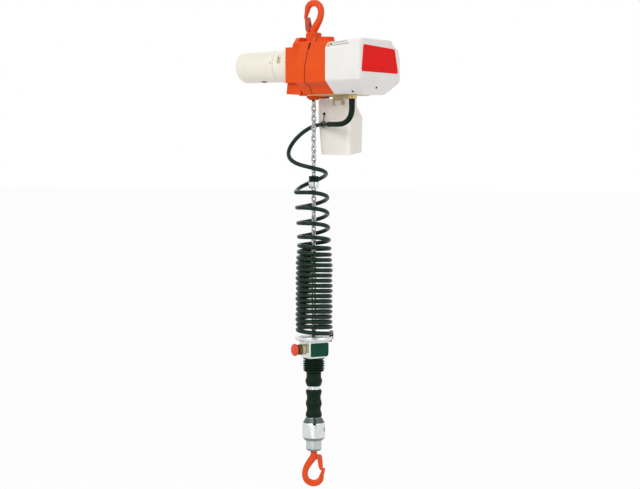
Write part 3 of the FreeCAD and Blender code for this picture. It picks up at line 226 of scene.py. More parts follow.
def rolled(shape, degrees, axis="z", centre=(0, 0, 0)):
    """Return the shape turned about an axis through a point, which turns its two other coordinates."""
    first, second = {"x": (1, 2), "y": (2, 0), "z": (0, 1)}[axis]
    angle = math.radians(degrees)
    points = shape[0] - np.asarray(centre, float)
    turned = points.copy()
    turned[:, first] = points[:, first] * math.cos(angle) - points[:, second] * math.sin(angle)
    turned[:, second] = points[:, first] * math.sin(angle) + points[:, second] * math.cos(angle)
    return turned + np.asarray(centre, float), shape[1], shape[2]


def softened(outline, reach, steps=5, closed=True):
    """Return an outline with eased corners.

    Each corner P becomes the quadratic curve (1-t)^2 A + 2t(1-t) P + t^2 B, where A and B lie on its two
    sides, at the reach or 0.45 of the side, whichever is less. An open outline keeps its two ends.
    """
    outline = np.asarray(outline, float)
    before = np.roll(outline, 1, axis=0) - outline
    after = np.roll(outline, -1, axis=0) - outline
    long_before = np.linalg.norm(before, axis=1, keepdims=True)
    long_after = np.linalg.norm(after, axis=1, keepdims=True)
    reach = np.broadcast_to(np.asarray(reach, float).reshape(-1, 1), (len(outline), 1))
    start = outline + before * np.minimum(reach / long_before, 0.45)
    end = outline + after * np.minimum(reach / long_after, 0.45)
    t = np.linspace(0, 1, steps)[None, :, None]
    curve = (1 - t) ** 2 * start[:, None] + 2 * t * (1 - t) * outline[:, None] + t ** 2 * end[:, None]
    if closed:
        return curve.reshape(-1, outline.shape[1])
    inner = curve[1:-1].reshape(-1, outline.shape[1])
    return np.concatenate([outline[:1], inner, outline[-1:]])


def lathe(profile, centre=(0, 0, 0), axis="z", segments=64, closed=False):
    """Return a turned shape.

    profile is (radius, height) along the axis, and a point of the surface is the centre plus
    radius (cos a, sin a) across the axis plus height along it.
    """
    profile = np.asarray(profile, float)
    angle = np.linspace(0, 2 * math.pi, segments, endpoint=False)
    first, second, along = {"z": (0, 1, 2), "x": (1, 2, 0), "y": (2, 0, 1)}[axis]
    rings = np.zeros((len(profile), segments, 3))
    rings[..., first] = profile[:, :1] * np.cos(angle)
    rings[..., second] = profile[:, :1] * np.sin(angle)
    rings[..., along] = profile[:, 1:2]
    return shifted(skin(rings, closed), centre)


def drawn_in(outline, depth):
    """Return an outline moved inwards along its normals: its central differences, turned by a quarter."""
    run = np.roll(outline, -1, axis=0) - np.roll(outline, 1, axis=0)
    normal = np.stack([-run[:, 1], run[:, 0]], -1)
    normal /= np.maximum(np.linalg.norm(normal, axis=1, keepdims=True), 1e-12)
    area = (outline[:, 0] * np.roll(outline[:, 1], -1) - outline[:, 1] * np.roll(outline[:, 0], -1)).sum()
    return outline + normal * depth * (1 if area > 0 else -1)


def slab(outline, low, high, axis, edge=0.0, steps=4):
    """Return an outline carried along an axis from low to high, its rims rounded by quarter circles.

    The circles' radius is edge. The outline's two columns are the two other axes in the order x, y, z.
    """
    angle = np.linspace(0, math.pi / 2, steps)
    if edge:
        inset = edge * (1 - np.sin(angle))
        rise = edge * (1 - np.cos(angle))
        levels = np.concatenate([low + rise, (high - rise)[::-1]])
        insets = np.concatenate([inset, inset[::-1]])
    else:
        levels, insets = np.array([low, high]), np.zeros(2)
    place = "xyz".index(axis)
    others = [k for k in range(3) if k != place]
    rings = np.zeros((len(levels), len(outline), 3))
    for index, (level, inset_by) in enumerate(zip(levels, insets)):
        rings[index][:, others] = drawn_in(outline, inset_by) if inset_by else outline
        rings[index][:, place] = level
    return skin(rings)


def rectangle(low, high, corner, steps=6):
    """Return a rectangle's outline with eased corners."""
    (a, b), (c, d) = low, high
    return softened([(a, b), (c, b), (c, d), (a, d)], corner, steps)


def brick(low, high, corner=0.0005, edge=0.0004, axis="z"):
    """Return a block with eased corners and rims between two corners."""
    place = "xyz".index(axis)
    others = [k for k in range(3) if k != place]
    outline = rectangle([low[k] for k in others], [high[k] for k in others], corner, 4)
    return slab(outline, low[place], high[place], axis, edge, 3)


def pipe(path, radius, around=16, lean=(-0.6, 0, 0.8)):
    """Return a tube along a path: rings of points at radius (cos a, sin a) across the path's direction.

    The first cross direction is the lean vector less its part along the path, the second is their product.
    """
    path = np.asarray(path, float)
    along = np.gradient(path, axis=0)
    along /= np.linalg.norm(along, axis=1, keepdims=True)
    lean = np.asarray(lean, float)
    first = lean - (along @ lean)[:, None] * along
    first /= np.linalg.norm(first, axis=1, keepdims=True)
    second = np.cross(along, first)
    angle = np.linspace(0, 2 * math.pi, around, endpoint=False)[None, :, None]
    radius = np.broadcast_to(np.asarray(radius, float).reshape(-1, 1, 1), (len(path), 1, 1))
    return skin(path[:, None] + radius * (first[:, None] * np.cos(angle) + second[:, None] * np.sin(angle)))


def smooth_between(knots, values, at):
    """Return values at places between knots on cubic pieces, whose slopes are the central differences."""
    knots = np.asarray(knots, float)
    values = np.asarray(values, float)
    slopes = np.gradient(values, knots, axis=0)
    index = np.clip(np.searchsorted(knots, at, side="right") - 1, 0, len(knots) - 2)
    span = knots[index + 1] - knots[index]
    t = (at - knots[index]) / span
    if values.ndim > 1:
        t, span = t[:, None], span[:, None]
    return ((2 * t ** 3 - 3 * t ** 2 + 1) * values[index] + (t ** 3 - 2 * t ** 2 + t) * span * slopes[index]
            + (3 * t ** 2 - 2 * t ** 3) * values[index + 1] + (t ** 3 - t ** 2) * span * slopes[index + 1])


# Pieces


def placed(name, mesh, material, body, replaces, sharp, bevel):
    """Make a shaded object of a mesh, with its finish and, where asked, a bevel, that rides on its body."""
    mesh.shade_smooth()
    mesh.set_sharp_from_angle(angle=math.radians(sharp))
    mesh.materials.clear()
    mesh.materials.append(material)
    made = bpy.data.objects.new(name, mesh)
    bpy.context.scene.collection.objects.link(made)
    if bevel:
        rounding = made.modifiers.new("Rounding", "BEVEL")
        rounding.width = bevel
        rounding.segments = 3
        rounding.limit_method = "ANGLE"
        rounding.angle_limit = math.radians(28)
        rounding.harden_normals = True
    if body:
        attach(made, body)
    if replaces:
        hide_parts(*replaces)
    return made


def piece(name, shape, material, body, replaces=(), sharp=38, bevel=0.0):
    """Make a piece from a shape."""
    points, quads, triangles = shape
    mesh = bpy.data.meshes.new(name)
    mesh.vertices.add(len(points))
    mesh.vertices.foreach_set("co", points.astype(np.float32).ravel())
    corners = np.concatenate([quads.ravel(), triangles.ravel()]).astype(np.int32)
    sizes = np.concatenate([np.full(len(quads), 4), np.full(len(triangles), 3)])
    mesh.loops.add(len(corners))
    mesh.loops.foreach_set("vertex_index", corners)
    mesh.polygons.add(len(sizes))
    mesh.polygons.foreach_set("loop_start", (np.cumsum(sizes) - sizes).astype(np.int32))
    mesh.update(calc_edges=True)
    mesh.validate()
    return placed(name, mesh, material, body, replaces, sharp, bevel)


def casting(name, node, material, body, bevel, reshape=None):
    """Make a cast or moulded piece from a frame node: its triangles merged, flat faces joined, edges rounded.

    reshape, where given, takes all the points as one array and returns them moved.
    """
    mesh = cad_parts[node].data.copy()
    mesh.name = name
    work = bmesh.new()
    work.from_mesh(mesh)
    bmesh.ops.remove_doubles(work, verts=work.verts, dist=0.000004)
    bmesh.ops.dissolve_limit(work, angle_limit=math.radians(0.8), verts=work.verts, edges=work.edges)
    work.to_mesh(mesh)
    work.free()
    if reshape:
        points = np.zeros(len(mesh.vertices) * 3)
        mesh.vertices.foreach_get("co", points)
        mesh.vertices.foreach_set("co", reshape(points.reshape(-1, 3)).ravel())
        mesh.update()
    return placed(name, mesh, material, body, [node], 28, bevel)


# Shader groups that the finishes share


def new_group(name, inputs, outputs):
    """Return an empty shader group with its sockets, and the nodes at its two ends."""
    group = bpy.data.node_groups.new(name, "ShaderNodeTree")
    for label, kind, value in inputs:
        socket = group.interface.new_socket(label, in_out="INPUT", socket_type="NodeSocket" + kind)
        if value is not None:
            socket.default_value = value
    for label, kind in outputs:
        group.interface.new_socket(label, in_out="OUTPUT", socket_type="NodeSocket" + kind)
    return group, group.nodes.new("NodeGroupInput"), group.nodes.new("NodeGroupOutput")


def shade_group():
    """Colour that drifts between two tones in soft patches, with the patch mask for other uses."""
    group, ends, out = new_group(
        "Hoist Tone", [("Colour", "Color", None), ("Tone", "Color", None), ("Scale", "Float", 20.0),
                       ("Amount", "Float", 0.5)], [("Colour", "Color"), ("Mask", "Float")])
    nodes, links = group.nodes, group.links
    place = nodes.new("ShaderNodeTexCoord")
    noise = nodes.new("ShaderNodeTexNoise")
    noise.inputs["Detail"].default_value = 5.0
    noise.inputs["Roughness"].default_value = 0.6
    spread = nodes.new("ShaderNodeMapRange")
    spread.inputs["From Min"].default_value = 0.35
    spread.inputs["From Max"].default_value = 0.7
    share = nodes.new("ShaderNodeMath")
    share.operation = "MULTIPLY"
    mix = nodes.new("ShaderNodeMix")
    mix.data_type = "RGBA"
    links.new(place.outputs["Object"], noise.inputs["Vector"])
    links.new(ends.outputs["Scale"], noise.inputs["Scale"])
    links.new(noise.outputs["Fac"], spread.inputs["Value"])
    links.new(spread.outputs["Result"], share.inputs[0])
    links.new(ends.outputs["Amount"], share.inputs[1])
    links.new(share.outputs[0], mix.inputs["Factor"])
    links.new(ends.outputs["Colour"], mix.inputs["A"])
    links.new(ends.outputs["Tone"], mix.inputs["B"])
    links.new(mix.outputs["Result"], out.inputs["Colour"])
    links.new(spread.outputs["Result"], out.inputs["Mask"])
    return group


def grain_group():
    """Fine moulded or sprayed grain, stretched by a vector, as a height and as a roughness."""
    group, ends, out = new_group(
        "Hoist Grain", [("Stretch", "Vector", (1.0, 1.0, 1.0)), ("Scale", "Float", 900.0),
                        ("Low", "Float", 0.3), ("High", "Float", 0.4)],
        [("Height", "Float"), ("Roughness", "Float")])
    nodes, links = group.nodes, group.links
    place = nodes.new("ShaderNodeTexCoord")
    stretch = nodes.new("ShaderNodeVectorMath")
    stretch.operation = "MULTIPLY"
    noise = nodes.new("ShaderNodeTexNoise")
    noise.inputs["Detail"].default_value = 3.0
    spread = nodes.new("ShaderNodeMapRange")
    spread.inputs["From Min"].default_value = 0.3
    spread.inputs["From Max"].default_value = 0.75
    links.new(place.outputs["Object"], stretch.inputs[0])
    links.new(ends.outputs["Stretch"], stretch.inputs[1])
    links.new(stretch.outputs["Vector"], noise.inputs["Vector"])
    links.new(ends.outputs["Scale"], noise.inputs["Scale"])
    links.new(noise.outputs["Fac"], spread.inputs["Value"])
    links.new(ends.outputs["Low"], spread.inputs["To Min"])
    links.new(ends.outputs["High"], spread.inputs["To Max"])
    links.new(noise.outputs["Fac"], out.inputs["Height"])
    links.new(spread.outputs["Result"], out.inputs["Roughness"])
    return group


def wear_group():
    """Mask of rubbed edges: convex places, broken up by noise."""
    group, ends, out = new_group(
        "Hoist Wear", [("Reach", "Float", 0.06), ("Scale", "Float", 220.0), ("Amount", "Float", 0.5)],
        [("Mask", "Float")])
    nodes, links = group.nodes, group.links
    shape = nodes.new("ShaderNodeNewGeometry")
    top = nodes.new("ShaderNodeMath")
    top.inputs[1].default_value = 0.52
    spread = nodes.new("ShaderNodeMapRange")
    spread.inputs["From Min"].default_value = 0.52
    place = nodes.new("ShaderNodeTexCoord")
    noise = nodes.new("ShaderNodeTexNoise")
    noise.inputs["Detail"].default_value = 4.0
    broken = nodes.new("ShaderNodeMath")
    broken.operation = "MULTIPLY"
    share = nodes.new("ShaderNodeMath")
    share.operation = "MULTIPLY"
    links.new(ends.outputs["Reach"], top.inputs[0])
    links.new(top.outputs[0], spread.inputs["From Max"])
    links.new(shape.outputs["Pointiness"], spread.inputs["Value"])
    links.new(place.outputs["Object"], noise.inputs["Vector"])
    links.new(ends.outputs["Scale"], noise.inputs["Scale"])
    links.new(spread.outputs["Result"], broken.inputs[0])
    links.new(noise.outputs["Fac"], broken.inputs[1])
    links.new(broken.outputs[0], share.inputs[0])
    links.new(ends.outputs["Amount"], share.inputs[1])
    links.new(share.outputs[0], out.inputs["Mask"])
    return group


GROUPS = {}


def group_of(name):
    """Return a shared shader group, made at its first use."""
    if name not in GROUPS:
        GROUPS[name] = {"tone": shade_group, "grain": grain_group, "wear": wear_group}[name]()
    return GROUPS[name]


def finish(name, colour, tone, patches=25.0, amount=0.6, rough=(0.3, 0.4), metal=0.0, coat=0.0, grain=900.0,
           stretch=(1, 1, 1), bump=0.1, depth=0.0002, worn=None, wear=0.0, specular=0.5):
    """Return a finish: two tones in patches, rubbed edges, and grain as relief and roughness."""
    material = bpy.data.materials.new(name)
    material.use_nodes = True
    material.diffuse_color = (*colour, 1)
    nodes, links = material.node_tree.nodes, material.node_tree.links
    shader = nodes["Principled BSDF"]
    shader.inputs["Metallic"].default_value = metal
    shader.inputs["Coat Weight"].default_value = coat
    shader.inputs["Coat Roughness"].default_value = 0.12
    shader.inputs["Specular IOR Level"].default_value = specular
    toned = nodes.new("ShaderNodeGroup")
    toned.node_tree = group_of("tone")
    toned.inputs["Colour"].default_value = (*colour, 1)
    toned.inputs["Tone"].default_value = (*tone, 1)
    toned.inputs["Scale"].default_value = patches
    toned.inputs["Amount"].default_value = amount
    grained = nodes.new("ShaderNodeGroup")
    grained.node_tree = group_of("grain")
    grained.inputs["Stretch"].default_value = stretch
    grained.inputs["Scale"].default_value = grain
    grained.inputs["Low"].default_value, grained.inputs["High"].default_value = rough
    relief = nodes.new("ShaderNodeBump")
    relief.inputs["Strength"].default_value = bump
    relief.inputs["Distance"].default_value = depth
    links.new(grained.outputs["Height"], relief.inputs["Height"])
    links.new(relief.outputs["Normal"], shader.inputs["Normal"])
    links.new(grained.outputs["Roughness"], shader.inputs["Roughness"])
    surface = toned.outputs["Colour"]
    if worn:
        rubbed = nodes.new("ShaderNodeGroup")
        rubbed.node_tree = group_of("wear")
        rubbed.inputs["Amount"].default_value = wear
        over = nodes.new("ShaderNodeMix")
        over.data_type = "RGBA"
        over.inputs["B"].default_value = (*worn, 1)
        links.new(rubbed.outputs["Mask"], over.inputs["Factor"])
        links.new(surface, over.inputs["A"])
        surface = over.outputs["Result"]
    links.new(surface, shader.inputs["Base Color"])
    return material


def darker(colour, share):
    """Return a colour at a share of its light."""
    return tuple(c * share for c in colour)


def chosen(name):
    """Return one of the colours that a user would change."""
    return tuple(getattr(bpy.context.scene.hoist_colours, name))


def hook_enamel():
    """Glossy baked enamel on the hooks and the bottom latch, deeper in patches, paler on rubbed edges."""
    colour = chosen("hook")
    return finish("Hook enamel", colour, darker(colour, 0.8), 60, 0.5, (0.3, 0.4), coat=0.1, grain=420,
                  bump=0.12, depth=0.0004, worn=linear(246, 112, 40), wear=0.4, specular=0.25)


def latch_enamel():
    """Thinner, browner coat of the top latch and of both latch pins."""
    return finish("Latch enamel", darker(chosen("hook"), 0.72), linear(150, 56, 24), 90, 0.6, (0.34, 0.46),
                  coat=0.15, grain=600, depth=0.0003, worn=linear(176, 120, 80), wear=0.6)


def casing_paint():
    """Satin paint on the die-cast casing, with a faint orange peel."""
    return finish("Casing paint", chosen("casing"), linear(228, 70, 4), 18, 0.55, (0.38, 0.5), grain=700,
                  bump=0.14, depth=0.0003, worn=linear(244, 104, 34), wear=0.35, specular=0.25)


def cream_paint():
    """Warm satin paint of the motor housing."""
    return finish("Motor paint", chosen("cream"), linear(238, 234, 216), 14, 0.7, (0.3, 0.42), coat=0.1,
                  grain=800, bump=0.08)


def white_plastic():
    """Moulded plastic of the controller cover, finely textured."""
    return finish("Cover plastic", chosen("white"), linear(234, 230, 224), 12, 0.5, (0.36, 0.48), grain=1500,
                  depth=0.00015)


def channel_painted_shade():
    """Grey of the two cable channels on the cover's chamfer: painted shade of their grooves."""
    white = chosen("white")
    return finish("Channel plastic", darker(white, 0.5), darker(white, 0.4), 12, 0.5, (0.4, 0.52), grain=1500)


def milk_plastic():
    """Thin cloudy plastic of the chain container."""
    return finish("Container plastic", chosen("milk"), linear(243, 236, 227), 16, 0.7, (0.4, 0.55),
                  grain=1100, bump=0.12)


def tan_plastic():
    """Beige plastic of the brush holders, the cover's clip, the container's hanger and the button's ring."""
    return finish("Tan plastic", linear(206, 192, 150), linear(190, 172, 128), 60, 0.7, (0.42, 0.55),
                  grain=1200)


def plate_film():
    """Bare film on the cover's end, smooth and slightly glossy."""
    colour = chosen("plate")
    return finish("Plate film", colour, darker(colour, 0.9), 30, 0.5, (0.3, 0.38), grain=500, bump=0.03,
                  depth=0.0001, specular=0.08)


def gasket_and_slot_shade():
    """Dark paper gasket between the casing halves, and the painted shade in their slots."""
    return finish("Seam gasket", linear(92, 38, 16), linear(64, 26, 12), 120, 0.6, (0.6, 0.75), grain=1400,
                  specular=0.15)


def yellow_zinc():
    """Yellow zinc plating of the bottom plate and the gland's nut, uneven as such plating is."""
    return finish("Yellow zinc", linear(214, 184, 120), linear(176, 150, 112), 45, 0.9, (0.28, 0.42),
                  metal=0.75, grain=300, bump=0.06)


def bright_chain():
    """Nickel plated chain steel."""
    return finish("Chain steel", linear(198, 202, 200), linear(120, 124, 122), 160, 0.6, (0.2, 0.34),
                  metal=1.0, bump=0.08)


def plain_steel():
    """Turned and pressed steel of pins, nuts, bolts, bearings and gears."""
    return finish("Plain steel", linear(180, 182, 184), linear(132, 134, 136), 120, 0.6, (0.28, 0.42),
                  metal=1.0, grain=1400, bump=0.08)


def dark_iron():
    """Laminated core iron of the motor and the transformer, and the shade of the motor's seal."""
    return finish("Core iron", linear(96, 96, 98), linear(60, 60, 62), 90, 0.6, (0.45, 0.6), metal=0.8,
                  grain=1600, stretch=(6, 1, 1), bump=0.2)


def turned_copper():
    """Copper of the commutator."""
    return finish("Turned copper", linear(204, 128, 92), linear(160, 90, 60), 90, 0.6, (0.25, 0.4), metal=1.0,
                  grain=1200, bump=0.08)


def circuit_board():
    """Lacquered green board."""
    return finish("Circuit board", linear(36, 92, 60), linear(22, 70, 44), 200, 0.7, (0.3, 0.45), grain=1800,
                  bump=0.12)


def dark_plastic_and_shade():
    """Plastic of small dark parts, and the painted shade in slots and screw heads."""
    return finish("Dark plastic", linear(26, 36, 32), linear(18, 26, 22), 60, 0.6, (0.38, 0.5), grain=1300,
                  bump=0.12, specular=0.25)


def panel_film():
    """Dark green film of the control case's panel."""
    return finish("Panel film", linear(10, 78, 58), linear(8, 60, 44), 24, 0.7, (0.3, 0.4), grain=600,
                  bump=0.03, specular=0.12)


def matt_rubber():
    """Matt rubber of grips, bellows, cushion, sleeve and tie."""
    return finish("Matt rubber", chosen("cord"), linear(6, 26, 17), 70, 0.7, (0.42, 0.56), grain=1700,
                  bump=0.22, specular=0.12)


def cord_sheath():
    """Satin sheath of the curly cord, paler in patches."""
    return finish("Cord sheath", chosen("cord"), linear(16, 48, 34), 140, 0.5, (0.26, 0.36), grain=1500,
                  bump=0.08, specular=0.2)


def brushed_aluminium():
    """Machined aluminium with fine turning lines round the chain's axis."""
    return finish("Turned aluminium", linear(226, 230, 228), linear(196, 204, 200), 40, 0.6, (0.24, 0.38),
                  metal=0.92, grain=260, stretch=(1, 1, 14))


def barrel_aluminium():
    """Cast aluminium of the barrel, duller than the coupler above it."""
    return finish("Barrel aluminium", linear(196, 206, 202), linear(170, 180, 176), 40, 0.6, (0.32, 0.44),
                  metal=0.85, grain=260, stretch=(1, 1, 14))


def rim_painted_reflection():
    """Darker grey on the turned edges of the coupler and the barrel: painted reflection."""
    return finish("Rim aluminium", linear(138, 148, 143), linear(112, 122, 117), 40, 0.6, (0.34, 0.46),
                  metal=0.6)


def cone_painted_reflection():
    """Dark grey-green on the coupler's cone: painted reflection of the dark grip below it."""
    return finish("Cone coat", linear(88, 100, 94), linear(66, 78, 72), 60, 0.6, (0.34, 0.46), metal=0.3)


def red_button():
    """Glossy coral plastic of the stop button."""
    colour = chosen("button")
    return finish("Stop button plastic", colour, darker(colour, 0.85), 60, 0.5, (0.3, 0.38), grain=600,
                  bump=0.03, specular=0.3)


def collar_painted_shade():
    """Collar behind the stop button, a yellowish plastic darkened to a dull olive: painted shade."""
    return finish("Collar plastic", linear(96, 90, 34), linear(60, 58, 20), 90, 0.8, (0.36, 0.5))


MAKERS = {
    "enamel": hook_enamel, "latch": latch_enamel, "casing": casing_paint, "cream": cream_paint,
    "white": white_plastic, "channel": channel_painted_shade, "milk": milk_plastic, "tan": tan_plastic,
    "plate": plate_film, "seam": gasket_and_slot_shade, "zinc": yellow_zinc, "chain": bright_chain,
    "steel": plain_steel, "iron": dark_iron, "copper": turned_copper, "board": circuit_board,
    "dark": dark_plastic_and_shade, "panel": panel_film, "rubber": matt_rubber, "cord": cord_sheath,
    "aluminium": brushed_aluminium, "barrel": barrel_aluminium, "rim": rim_painted_reflection, "cone": cone_painted_reflection,
    "button": red_button, "collar": collar_painted_shade,
}
LOOKS = {}


def look(name):
    """Return a finish by its short name, made at its first use."""
    if name not in LOOKS:
        LOOKS[name] = MAKERS[name]()
    return LOOKS[name]


# Hooks

HOOK_MID_R = 0.0214
LOW_HOOK_Z = -1.112
LOW_HOOK_TURN = 35
EAR = (0.0135, 0.0435)
EAR_R = 0.0045
SHANK_R = 0.008
# The forged bar ends this much before the shank, whose last stretch is inside the nut
SHANK_SHORT = 0.009
BAR_FULLNESS = 1.18
NECK_Z = 0.042


def hook_bar(shank_end):
    """Return the forged bar in the hook's own frame: bowl centre at the origin, shank up +Z, opening to +X.

    Ring k is centre + across deep c|c|^-0.15 + Y thick s|s|^-0.15, with c, s the cosine and sine round the
    ring. They run on cubic pieces through the sections, each x and z of its centre, the direction across in
    degrees, deep and thick.
    """
    def bowl(degrees, radius, deep, thick):
        turn = math.radians(degrees)
        return (radius * math.cos(turn), radius * math.sin(turn), degrees, deep, thick)

    table = np.array([
        (0, shank_end, 180, SHANK_R, SHANK_R), (0, 0.056, 180, SHANK_R, SHANK_R),
        (0, 0.048, 180, SHANK_R, SHANK_R), (-0.0012, 0.0445, 172, 0.0084, 0.0078),
        (-0.0030, 0.0400, 158, 0.0088, 0.0072), (-0.0103, 0.0295, 143, 0.0084, 0.0070),
        (-0.0170, 0.0190, 148, 0.0078, 0.0066), (-0.0204, 0.0090, 164, 0.0074, 0.0065),
        bowl(180, 0.0216, 0.0072, 0.0065), bowl(215, 0.0215, 0.0077, 0.0065),
        bowl(250, HOOK_MID_R, 0.0081, 0.0066), bowl(290, 0.0212, 0.0080, 0.0065),
        bowl(325, 0.0205, 0.0070, 0.0061), bowl(355, 0.0192, 0.0054, 0.0053),
        (0.0232, 0.0095, 339, 0.0037, 0.0036), (0.0256, 0.0155, 339, 0.0019, 0.0019),
    ])
    table[:, 2] = np.radians(table[:, 2])
    steps = np.linalg.norm(np.diff(table[:, :2], axis=0), axis=1)
    knots = np.concatenate([[0], np.cumsum(steps)])
    at = np.linspace(0, knots[-1], 90)
    x, z, turn, deep, thick = smooth_between(knots, table, at).T[:, :, None]
    thick = np.where(z < NECK_Z, thick * BAR_FULLNESS, thick)
    angle = np.linspace(0, 2 * math.pi, 28, endpoint=False)[None]
    c, s = np.cos(angle), np.sin(angle)
    c = np.sign(c) * np.abs(c) ** 0.85
    s = np.sign(s) * np.abs(s) ** 0.85
    rings = np.stack([x + np.cos(turn) * deep * c, thick * s, z + np.sin(turn) * deep * c], -1)
    return skin(rings)


def hook_shape(shank_end):
    """Return the whole hook: bar and latch ear, whose outline is a tongue with a round end."""
    root = 0.002
    round_end = np.linspace(-math.pi / 2, math.pi / 2, 14)
    tongue = np.stack([EAR[0] + EAR_R * np.cos(round_end), EAR[1] + EAR_R * np.sin(round_end)], -1)
    tongue = np.concatenate([[(root, EAR[1] - 2 * EAR_R)], tongue, [(root, EAR[1] + EAR_R + 0.002)]])
    ear = slab(softened(tongue, 0.0008, 3), -0.0035, 0.0035, "y", 0.0008)
    return together([hook_bar(shank_end), ear])


def latch_shape():
    """Return the latch in the hook's own frame: two pressed cheeks astride the ear, joined by a web."""
    inner, outer, lap = 0.0045, 0.0058, 0.0002
    cheek = softened([(0.0088, 0.0470), (0.0150, 0.0487), (0.0192, 0.0455), (0.0208, 0.0380),
                      (0.0216, 0.0270), (0.0224, 0.0140), (0.0206, 0.0106), (0.0145, 0.0112),
                      (0.0112, 0.0200), (0.0096, 0.0300), (0.0084, 0.0400)], 0.003, 5)
    web = softened([(0.0150, 0.0112), (0.0194, 0.0112), (0.0190, 0.0260), (0.0106, 0.0260),
                    (0.0118, 0.0200)], 0.0012, 3)
    return together([slab(cheek, inner, outer, "y"), slab(cheek, -outer, -inner, "y"),
                     slab(web, -inner - lap, inner + lap, "y")])


def at_low_hook(shape):
    """Return a shape of the hook's own frame at the bottom hook's place."""
    return shifted(rolled(shape, LOW_HOOK_TURN), (0, 0, LOW_HOOK_Z))


def make_hooks():
    """Both hooks are the same forging; the top one is turned upside down."""
    top = rolled(hook_shape(-corners_of("top_hook")[0][2] - SHANK_SHORT), 180, "y")
    piece("top_hook_forging", top, look("enamel"), "hook", ["top_hook"])
    low = at_low_hook(hook_shape(corners_of("bottom_hook")[1][2] - SHANK_SHORT - LOW_HOOK_Z))
    piece("bottom_hook_forging", low, look("enamel"), "low_hook", ["bottom_hook"])
    piece("top_hook_latch", rolled(latch_shape(), 180, "y"), look("latch"), "top_latch",
          ["top_latch"], bevel=0.0004)
    piece("bottom_hook_latch", at_low_hook(latch_shape()), look("enamel"), "bottom_latch",
          ["bottom_latch"], bevel=0.0004)


# Load chain


def link_shape(sizes):
    """Return one upright link: a round wire along two half circles and two straights in the XZ plane."""
    inner = 0.0054
    middle = (inner + sizes.wire) / 2
    half = sizes.pitch / 2 - inner / 2 + 0.00005
    arc = np.linspace(0, math.pi, 9)
    x = np.concatenate([middle * np.cos(arc), -middle * np.cos(arc)])
    z = np.concatenate([half + middle * np.sin(arc), -half - middle * np.sin(arc)])
    path = np.stack([x, np.zeros_like(x), z], -1)
    inward = np.stack([-np.concatenate([np.cos(arc), -np.cos(arc)]), np.zeros_like(x),
                       -np.concatenate([np.sin(arc), -np.sin(arc)])], -1)
    angle = np.linspace(0, 2 * math.pi, 10, endpoint=False)[None, :, None]
    across = np.array([0, 1.0, 0])
    rings = path[:, None] + sizes.wire / 2 * (inward[:, None] * np.cos(angle) + across * np.sin(angle))
    return skin(rings, closed=True)


def strand_shape(sizes, first, last):
    """Return hanging links first to last, a pitch apart and each turned a quarter, link 0 at the axle."""
    link = link_shape(sizes)
    crossed = rolled(link, 90)
    return together([shifted(link if k % 2 == 0 else crossed, (0, 0, WHEEL_Z - sizes.pitch * k))
                     for k in range(first, last + 1)])


def wrapped_shape(sizes):
    """Return the five links on the wheel: link k is turned k fifths of a half circle about its axle."""
    links = []
    for k in range(5):
        link = rolled(link_shape(sizes), 90 * (k % 2))
        reach = SLACK_Y - WHEEL_Y if k % 2 else WHEEL_Y
        links.append(shifted(rolled(shifted(link, (0, -reach, 0)), -36 * k, "x"), (0, WHEEL_Y, WHEEL_Z)))
    return together(links)


def slack_shape(sizes):
    """Return the slack strand that runs from the wheel into the container."""
    link = link_shape(sizes)
    return together([shifted(rolled(link, 90 * (1 - k % 2)), (0, SLACK_Y, WHEEL_Z - sizes.pitch * k))
                     for k in range(8)])


def make_chain(sizes):
    """The chain above the cushion hangs from the hoist; the rest rides on the load."""
    first_load_link = 20
    last_load_link = 53
    upper = strand_shape(sizes, 4, first_load_link - 1)
    hanging = piece("hanging_chain", upper, look("chain"), None)
    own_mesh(hanging)
    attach(hanging, "hoist")
    held = together([strand_shape(sizes, 1, 3), wrapped_shape(sizes)])
    made = piece("wheel_chain", held, look("chain"), "hoist")
    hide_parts("load_chain_upper")
    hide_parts("load_chain_upper")
    piece("slack_links", slack_shape(sizes), look("chain"), "hoist", ["slack_chain"])
    moving = strand_shape(sizes, first_load_link, last_load_link)
    piece("load_chain", moving, look("chain"), "load", ["load_chain_lower"])


# Control cord

CORD_EXIT = (0.123, -0.019, -0.210)
LEAD = [
    CORD_EXIT, (0.123, -0.019, -0.226), (0.123, -0.019, -0.240), (0.1175, -0.0185, -0.2535),
    (0.107, -0.017, -0.263), (0.093, -0.014, -0.268), (0.072, -0.0095, -0.269), (0.043, 0.002, -0.268),
    (0.012, 0.016, -0.267), (-0.017, 0.022, -0.271), (-0.040, 0.017, -0.283), (-0.057, 0.008, -0.300),
    (-0.063, -0.008, -0.319), (-0.057, -0.027, -0.337), (-0.040, -0.041, -0.352), (-0.017, -0.046, -0.362),
    (0.007, -0.043, -0.368), (0.026, -0.0318, -0.373), (0.0345, -0.010, -0.378), (0.0278, 0.0152, -0.385),
    (0.008, 0.0315, -0.393), (-0.016, 0.0325, -0.402), (-0.0352, 0.0192, -0.411), (-0.0425, -0.003, -0.4205),
]
LEFT_TURNS = [-0.430, -0.467, -0.504, -0.537, -0.558, -0.573, -0.587]
RIGHT_TURNS = [-0.443, -0.481, -0.515, -0.545, -0.565, -0.580, -0.593]
TIGHT_TURNS = 14
TIGHT_PITCH = 0.0124
CURL_END = -0.7698
POINTS_A_TURN = 16
LEFT_ANGLE = math.radians(215)
SLEEVE_LONG = 0.128


